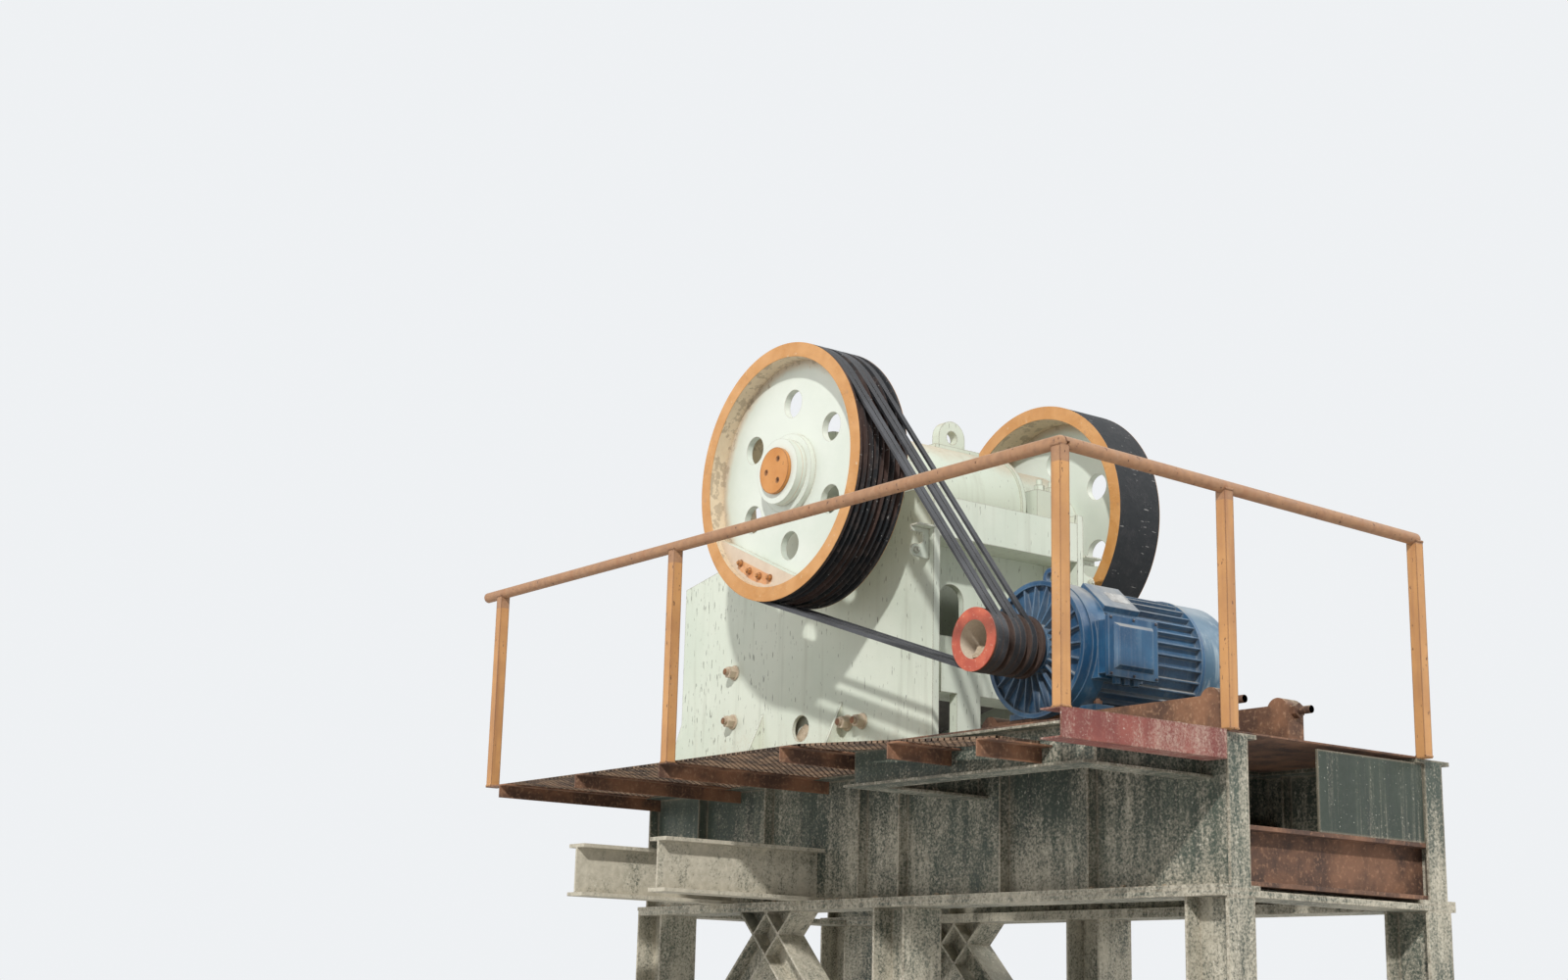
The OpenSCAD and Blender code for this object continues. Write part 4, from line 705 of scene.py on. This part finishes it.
def arc(x, y, radius, start, end, steps):
    angles = [math.radians(start + (end - start) * i / steps) for i in range(steps + 1)]
    return [(x + radius * math.cos(a), y + radius * math.sin(a)) for a in angles]


# Expanded mesh of the walkway, in the place of the frame's coarse one

walkMesh = {
    "pitch": 0.042, "strand": 0.006, "height": 0.011, "twist": 0.002,
    "border": 0.012, "borderHeight": 0.01176,
    "floorStart": (-1.850, -1.750, 2.838), "floorLength": 2.925,
    "stripStart": (1.076, -1.750, 2.838), "stripWidth": 0.248, "gap": 0.001,
}


def addBar(middle, size):
    clearSelection()
    bpy.ops.mesh.primitive_cube_add(size=1.0, location=middle)
    bpy.ops.transform.resize(value=size)
    applyPlace()
    return bpy.context.object


# One of the two layers of slanting strands, cut to a panel
def makeStrands(length, width, lean, look):
    strand = addBar((0, 0, look["height"] / 2), (look["strand"], width * 1.5, look["height"]))
    selectTop(strand)
    bpy.ops.transform.translate(value=(lean * look["twist"], 0, 0))
    bpy.ops.object.mode_set(mode="OBJECT")
    slant = Matrix.Rotation(math.radians(45 * lean), 4, "Z")
    strand.data.transform(Matrix.Translation((-width / 2, width / 2, 0)) @ slant)
    applyModifier(
        strand, "ARRAY", count=int((length + width) / look["pitch"]) + 1,
        use_relative_offset=False, use_constant_offset=True,
        constant_offset_displace=(look["pitch"], 0, 0))
    trim(strand, (0, 0, 0), (-1, 0, 0))
    trim(strand, (length, 0, 0), (1, 0, 0))
    trim(strand, (0, 0, 0), (0, -1, 0))
    trim(strand, (0, width, 0), (0, 1, 0))
    return strand


def makeMeshPanel(start, length, width, fall, look):
    parts = [makeStrands(length, width, lean, look) for lean in (-1, 1)]
    edge = look["border"]
    tall = look["borderHeight"]
    for y in (edge / 2, width - edge / 2):
        parts.append(addBar((length / 2, y, edge / 2), (length, edge, tall)))
    for x in (edge / 2, length - edge / 2):
        parts.append(addBar((x, width / 2, edge / 2), (edge, width, tall)))
    move = Matrix.Translation(origin + Vector(start)) @ Matrix.Rotation(fall, 4, "Y")
    for part in parts:
        part.data.transform(move)
    return parts


# The floor is level, and a strip along its rear end slopes down
def makeWalkMesh(look):
    low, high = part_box("walkway_grating")
    panels = makeMeshPanel(look["floorStart"], look["floorLength"], high.y - low.y, 0.0, look)
    length = high.x - origin.x - look["stripStart"][0] - look["gap"]
    fall = math.atan((high.z - low.z - look["border"]) / length)
    return panels + makeMeshPanel(look["stripStart"], length, look["stripWidth"], fall, look)


walkwayMesh = seat("walkway_expanded_mesh", makeWalkMesh(walkMesh), "plant", meshSteel)
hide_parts("walkway_grating")
print("Walkway mesh laid")


# Nuts, screws and threads

nut = makeHexNut(hexNut)
socketScrew = makeSocketScrew(socketHead)

fasteners = {
    "cap": {"circle": 0.070, "angles": (60, 180, 300), "face": 1.1355, "size": 0.0135},
    "weight": {"circle": 0.588, "angles": (-129, -119, -109, -99), "face": 1.090, "size": 0.017},
    "feet": {"x": (1.367, 1.875), "y": (-0.550, -0.093), "z": 3.080, "size": 0.021},
    "lid": {"face": 2.059, "y": (-0.644, -0.490, -0.336), "z": (3.209, 3.481), "size": 0.0062},
    "screws": {"y": (-0.550, -0.093), "z": 3.023, "x": (2.728, 2.796), "radius": 0.0188},
}


def ring(look, side):
    angles = [math.radians(angle) for angle in look["angles"]]
    return [(look["circle"] * math.cos(a), side * look["face"], shaft.z + look["circle"] * math.sin(a))
            for a in angles]


# A nut as the spanner left it
def turnedNut(place, axis, size):
    return copyTo(nut, place, axis, rng.uniform(0, 3), size)


capScrews = []
weightNuts = []
for side in (-1, 1):
    for place in ring(fasteners["cap"], side):
        capScrews.append(copyTo(socketScrew, place, (0, side, 0), 0, fasteners["cap"]["size"]))
    for place in ring(fasteners["weight"], side):
        weightNuts.append(turnedNut(place, (0, side, 0), fasteners["weight"]["size"]))
seat("cap_screws", capScrews, "crank", orangeRust)
seat("counterweight_nuts", weightNuts, "crank", ochrePaint)

feet = fasteners["feet"]
seat("motor_foot_nuts", [
    turnedNut((x, y, feet["z"]), (0, 0, 1), feet["size"])
    for x in feet["x"] for y in feet["y"]], "plant", rustySteel)

lid = fasteners["lid"]
seat("lid_bolts", [
    turnedNut((lid["face"], y, z), (1, 0, 0), lid["size"])
    for y in lid["y"] for z in lid["z"]], "plant", fanBlue)


# Ripple of rings between two points, for threads and weld beads

thread = {"pitch": 0.005, "sides": 20, "core": 0.93}
weld = {"radius": 0.006, "pitch": 0.016, "sides": 8, "low": 0.8, "high": 1.1, "jitter": 0.1}


def makeRipple(start, end, low, high, look):
    first = origin + Vector(start)
    run = origin + Vector(end) - first
    sides = look["sides"]
    jitter = look.get("jitter", 0.0)
    cuts = max(4, 2 * int(run.length / look["pitch"]))
    turn = run.to_track_quat("Z", "Y").to_matrix()
    points = []
    faces = []
    for i in range(cuts + 1):
        swell = (high if i % 2 else low) * (1 + rng.uniform(-jitter, jitter))
        centre = first + run * (i / cuts)
        for x, y in arc(0, 0, swell, 0, 360, sides)[:sides]:
            points.append(centre + turn @ Vector((x, y, 0)))
    for i in range(cuts):
        below = i * sides
        for j in range(sides):
            k = (j + 1) % sides
            faces.append((below + j, below + k, below + sides + k, below + sides + j))
    faces.append(tuple(reversed(range(sides))))
    faces.append(tuple(range(len(points) - sides, len(points))))
    mesh = bpy.data.meshes.new("ripple")
    mesh.from_pydata(points, [], faces)
    ripple = bpy.data.objects.new("ripple", mesh)
    scene.collection.objects.link(ripple)
    return ripple


def makeBead(start, end, radius=weld["radius"]):
    return makeRipple(start, end, radius * weld["low"], radius * weld["high"], weld)


screws = fasteners["screws"]
seat("slide_screw_threads", [
    makeRipple((screws["x"][0], y, screws["z"]), (screws["x"][1], y, screws["z"]),
               screws["radius"] * thread["core"], screws["radius"], thread)
    for y in screws["y"]], "plant", rustySteel)

seat("wall_stud_threads", [
    makeRipple((x, side * wallStuds["threadFrom"], z), (x, side * wallStuds["threadTo"], z),
               wallStuds["core"], wallStuds["thread"], thread)
    for x, z in wallStuds["places"] for side in (-1, 1)], "plant", orangeRust)


# Weld beads at the gussets and feet of the side walls

sideWelds = {
    "gussets": (-0.851, -0.113), "half": 0.010, "foot": 2.890, "top": 3.290, "reach": 0.735,
    "wall": 0.560, "start": -1.68, "end": 0.66, "footRadius": 0.007,
}


def makeWallBeads(side, look):
    wall = side * look["wall"]
    foot = look["foot"]
    beads = []
    for gusset in look["gussets"]:
        for edge in (-1, 1):
            x = gusset + edge * look["half"]
            beads.append(makeBead((x, wall, foot), (x, wall, look["top"])))
            beads.append(makeBead((x, wall, foot), (x, side * look["reach"], foot)))
    beads.append(makeBead((look["start"], wall, foot), (look["end"], wall, foot), look["footRadius"]))
    return beads


wallBeads = makeWallBeads(-1, sideWelds) + makeWallBeads(1, sideWelds)
seat("side_wall_welds", wallBeads, "plant", creamPaint)


# Weld beads at the heads and feet of the handrail's posts. The rear pipe falls towards the far side

railWelds = {
    "half": 0.0275, "y": -1.780, "top": 3.961, "corner": 2.890,
    "sidePosts": ((-1.820, 2.840), (0.0, 2.840), (2.890, 2.851)),
    "rearPosts": (-0.760, 0.600), "rearFoot": 2.859, "fall": 0.060, "run": 2.380,
}


def makeRailBeads(look):
    half = look["half"]
    y = look["y"]
    beads = []
    for x, foot in look["sidePosts"]:
        for edge in (-1, 1):
            face = y + edge * half
            beads.append(makeBead((x - half, face, look["top"]), (x + half, face, look["top"])))
            beads.append(makeBead((x - half, face, foot), (x + half, face, foot)))
            face = x + edge * half
            beads.append(makeBead((face, y - half, foot), (face, y + half, foot)))
    for post in look["rearPosts"]:
        top = look["top"] - look["fall"] * (post - y) / look["run"]
        for edge in (-1, 1):
            face = look["corner"] + edge * half
            beads.append(makeBead((face, post - half, top), (face, post + half, top)))
            beads.append(makeBead(
                (face, post - half, look["rearFoot"]), (face, post + half, look["rearFoot"])))
    return beads


seat("handrail_welds", makeRailBeads(railWelds), "plant", railOchre)
print("Fasteners and welds placed")


# Guard hooks on the rear ends of the side walls: a plate with an open eye, a lip and a bolt

guardHook = {
    "corner": (0.620, 0.560, 3.992), "thickness": 0.016, "bevel": 0.002,
    "foot": [(0.0, 0.0), (0.060, 0.0)], "eye": (0.092, 0.038), "eyeRadius": 0.036, "eyeArc": (-115, 95),
    "arm": [(0.060, 0.080), (0.042, 0.092), (0.042, 0.128), (0.052, 0.140), (0.128, 0.140),
            (0.128, 0.176), (0.0, 0.176)],
    "lip": [(0.0, 0.0), (0.060, 0.0), (0.060, 0.010), (0.0, 0.010)], "lipLength": 0.128,
    "lipBevel": 0.001, "lipPlace": (0.064, 0.166), "bead": 0.17, "beadRadius": 0.004,
    "nutSize": 0.016, "nutSpin": 0.3,
}


def makeGuardHook(side, look):
    x, y, z = look["corner"]
    corner = Vector((x, side * y, z))
    front = corner + Vector((look["thickness"] / 2, 0, 0))
    outward = Vector((0, side, 0))
    upright = Vector((0, 0, 1))
    eye = arc(*look["eye"], look["eyeRadius"], *look["eyeArc"], 14)
    plate = makePlate(look["foot"] + eye + look["arm"], look["thickness"], look["bevel"])
    turn = Matrix((outward, upright, outward.cross(upright))).transposed().to_4x4()
    plate.data.transform(Matrix.Translation(origin + corner) @ turn)
    lip = makePlate(look["lip"], look["lipLength"], look["lipBevel"])
    lipTurn = Matrix(((1, 0, 0), (0, 0, 1), (0, -1, 0))).transposed().to_4x4()
    across, up = look["lipPlace"]
    lip.data.transform(Matrix.Translation(origin + front + outward * across + upright * up) @ lipTurn)
    bead = makeBead(front, front + upright * look["bead"], look["beadRadius"])
    across, up = look["eye"]
    bolt = copyTo(nut, front + outward * across + upright * up, (1, 0, 0), look["nutSpin"], look["nutSize"])
    return [plate, lip, bead, bolt]


seat("near_guard_hook", makeGuardHook(-1, guardHook), "plant", creamPaint)
seat("far_guard_hook", makeGuardHook(1, guardHook), "plant", creamPaint)


# Blank rating plate on the motor's sloped hood, held by four rivets

ratingPlate = {
    "lean": 48.0, "radius": 0.357, "y": -0.395, "width": 0.130, "height": 0.080, "thickness": 0.0016,
    "corner": 0.008, "bevel": 0.0004, "rivet": 0.004, "rivetFlat": 0.6, "rivetInset": 0.010,
    "rivetRise": 0.001,
}


def makeRatingPlate(look):
    lean = math.radians(look["lean"])
    outward = Vector((math.cos(lean), 0, math.sin(lean)))
    along = Vector((0, 1, 0))
    turn = Matrix((along, outward.cross(along), outward)).transposed().to_4x4()
    centre = Vector((motorAxis["x"], look["y"], motorAxis["z"]))
    centre += outward * (look["radius"] + look["thickness"] / 2)
    move = Matrix.Translation(origin + centre) @ turn
    half = look["width"] / 2
    tall = look["height"] / 2
    corner = look["corner"]
    outline = []
    for start, across, up in ((0, 1, 1), (90, -1, 1), (180, -1, -1), (270, 1, -1)):
        outline += arc(across * (half - corner), up * (tall - corner), corner, start, start + 90, 4)
    plate = makePlate(outline, look["thickness"], look["bevel"])
    plate.data.transform(move)
    parts = [plate]
    for across in (-1, 1):
        for up in (-1, 1):
            clearSelection()
            bpy.ops.mesh.primitive_uv_sphere_add(segments=12, ring_count=8, radius=look["rivet"])
            rivet = bpy.context.object
            bpy.ops.transform.resize(value=(1, 1, look["rivetFlat"]))
            applyPlace()
            inset = look["rivetInset"]
            at = (across * (half - inset), up * (tall - inset), look["rivetRise"])
            rivet.data.transform(move @ Matrix.Translation(at))
            parts.append(rivet)
    return parts


seat("motor_rating_plate", makeRatingPlate(ratingPlate), "plant", plateMetal)


# Mounds of stone dust in the near wall's hole and in the motor pulley's bore

heapShape = {"rough": 0.25, "slump": 1.3}
wallHeap = {**heapShape, "place": (-0.480, -0.519, 2.955), "size": (0.26, 0.019, 0.225)}
boreHeap = {**heapShape, "place": (motorAxis["x"], -1.050, 3.279), "size": (0.062, 0.066, 0.060)}


def makeHeap(look):
    clearSelection()
    bpy.ops.mesh.primitive_ico_sphere_add(subdivisions=4, radius=1.0)
    heap = bpy.context.object
    trim(heap, (0, 0, 0), (0, 0, -1))
    shift = Vector((rng.uniform(0, 50), rng.uniform(0, 50), 0))
    rough = look["rough"]
    for vertex in heap.data.vertices:
        if vertex.co.z > 0.001:
            broad = noise.noise(vertex.co * 2.5 + shift)
            fine = noise.noise(vertex.co * 9 + shift)
            vertex.co *= 1 + broad * rough + fine * rough * 0.3
            vertex.co.z = vertex.co.z ** look["slump"]
    move = Matrix.Translation(origin + Vector(look["place"]))
    heap.data.transform(move @ Matrix.Diagonal((*look["size"], 1.0)))
    return heap


seat("wall_hole_dust", [makeHeap(wallHeap)], "plant", stoneDust, 60)
seat("pulley_bore_dust", [makeHeap(boreHeap)], "motor_rotor", stoneDust, 60)


# Small stones lying on the ledges

stoneSizes = {"smallest": 0.004, "spread": 0.010, "shape": (1.3, 1.0, 0.7), "sunk": 0.35}
stoneBeds = [
    {"x": (1.15, 2.84), "y": (-1.49, 0.50), "level": 2.858, "count": 150},
    {"x": (-1.70, 1.00), "y": (-0.810, -0.766), "level": 2.850, "count": 60},
    {"x": (-1.60, 0.60), "y": (-0.735, -0.570), "level": 2.890, "count": 60},
    {"x": (-1.60, 2.85), "y": (-0.800, -0.715), "level": 2.190, "count": 90},
]


def makeStone(model, bed, look):
    stone = model.copy()
    stone.data = model.data.copy()
    scene.collection.objects.link(stone)
    size = look["smallest"] + look["spread"] * rng.random() ** 3
    for vertex in stone.data.vertices:
        vertex.co *= rng.uniform(0.75, 1.15)
    place = Vector((rng.uniform(*bed["x"]), rng.uniform(*bed["y"]), bed["level"] + size * look["sunk"]))
    long, wide, tall = look["shape"]
    stone.data.transform(
        Matrix.Translation(origin + place) @ Matrix.Rotation(rng.uniform(0, 6), 4, "Z")
        @ Matrix.Diagonal((size * long, size * wide, size * tall, 1.0)))
    return stone


clearSelection()
bpy.ops.mesh.primitive_ico_sphere_add(subdivisions=1, radius=1.0)
pebble = bpy.context.object
stones = [makeStone(pebble, bed, stoneSizes) for bed in stoneBeds for _ in range(bed["count"])]
seat("ledge_stones", stones, "plant", stoneDust, 20)

# The patterns that were copied are done with
for model in (nut, socketScrew, pebble):
    bpy.data.objects.remove(model)
print("Hooks, plate, dust and stones placed")


# Floor, world and lamps

studio = {
    "floorSize": 160.0,
    "floorColor": (0.70, 0.70, 0.69),
    "floorRough": 0.9,
    "sky": (0.86, 0.88, 0.90),
    "ambient": 0.46,
    "lamps": {
        "keyLamp": {"from": (9.5, -10.3, 8.8), "softness": 2.5, "strength": 2.7},
        "sideLamp": {"from": (-9.0, -9.3, 4.8), "softness": 40.0, "strength": 0.7},
        "backLamp": {"from": (3.0, 10.7, 6.8), "softness": 30.0, "strength": 1.3},
    },
}


def addFloor(look):
    clearSelection()
    bpy.ops.mesh.primitive_plane_add(size=look["floorSize"])
    floor = bpy.context.object
    floor.name = "floor"
    dress(floor, Finish("floorPaint").close(look["floorColor"], look["floorRough"]))


def addLamp(name, look):
    bpy.ops.object.light_add(type="SUN", location=look["from"])
    lamp = bpy.context.object
    lamp.name = name
    lamp.data.angle = math.radians(look["softness"])
    lamp.data.energy = look["strength"]
    lamp.rotation_euler = (-Vector(look["from"])).to_track_quat("-Z", "Y").to_euler()


# The sky is at full strength where it is seen, and dimmer where it only gives light
def addSky(look):
    world = bpy.data.worlds.new("studioWorld")
    scene.world = world
    world.use_nodes = True
    air = Wiring(world.node_tree)
    rays = [air.node("LightPath", out=kind) for kind in (
        "Is Camera Ray", "Is Glossy Ray", "Is Transmission Ray")]
    seen = air.larger(air.larger(rays[0], rays[1]), rays[2])
    background = air.tree.nodes["Background"]
    air.feed(background.inputs["Color"], look["sky"])
    air.feed(background.inputs["Strength"], seen * (1.0 - look["ambient"]) + look["ambient"])


addFloor(studio)
for name, look in studio["lamps"].items():
    addLamp(name, look)
addSky(studio)
scene.view_settings.view_transform = "Standard"
print("Studio lit")
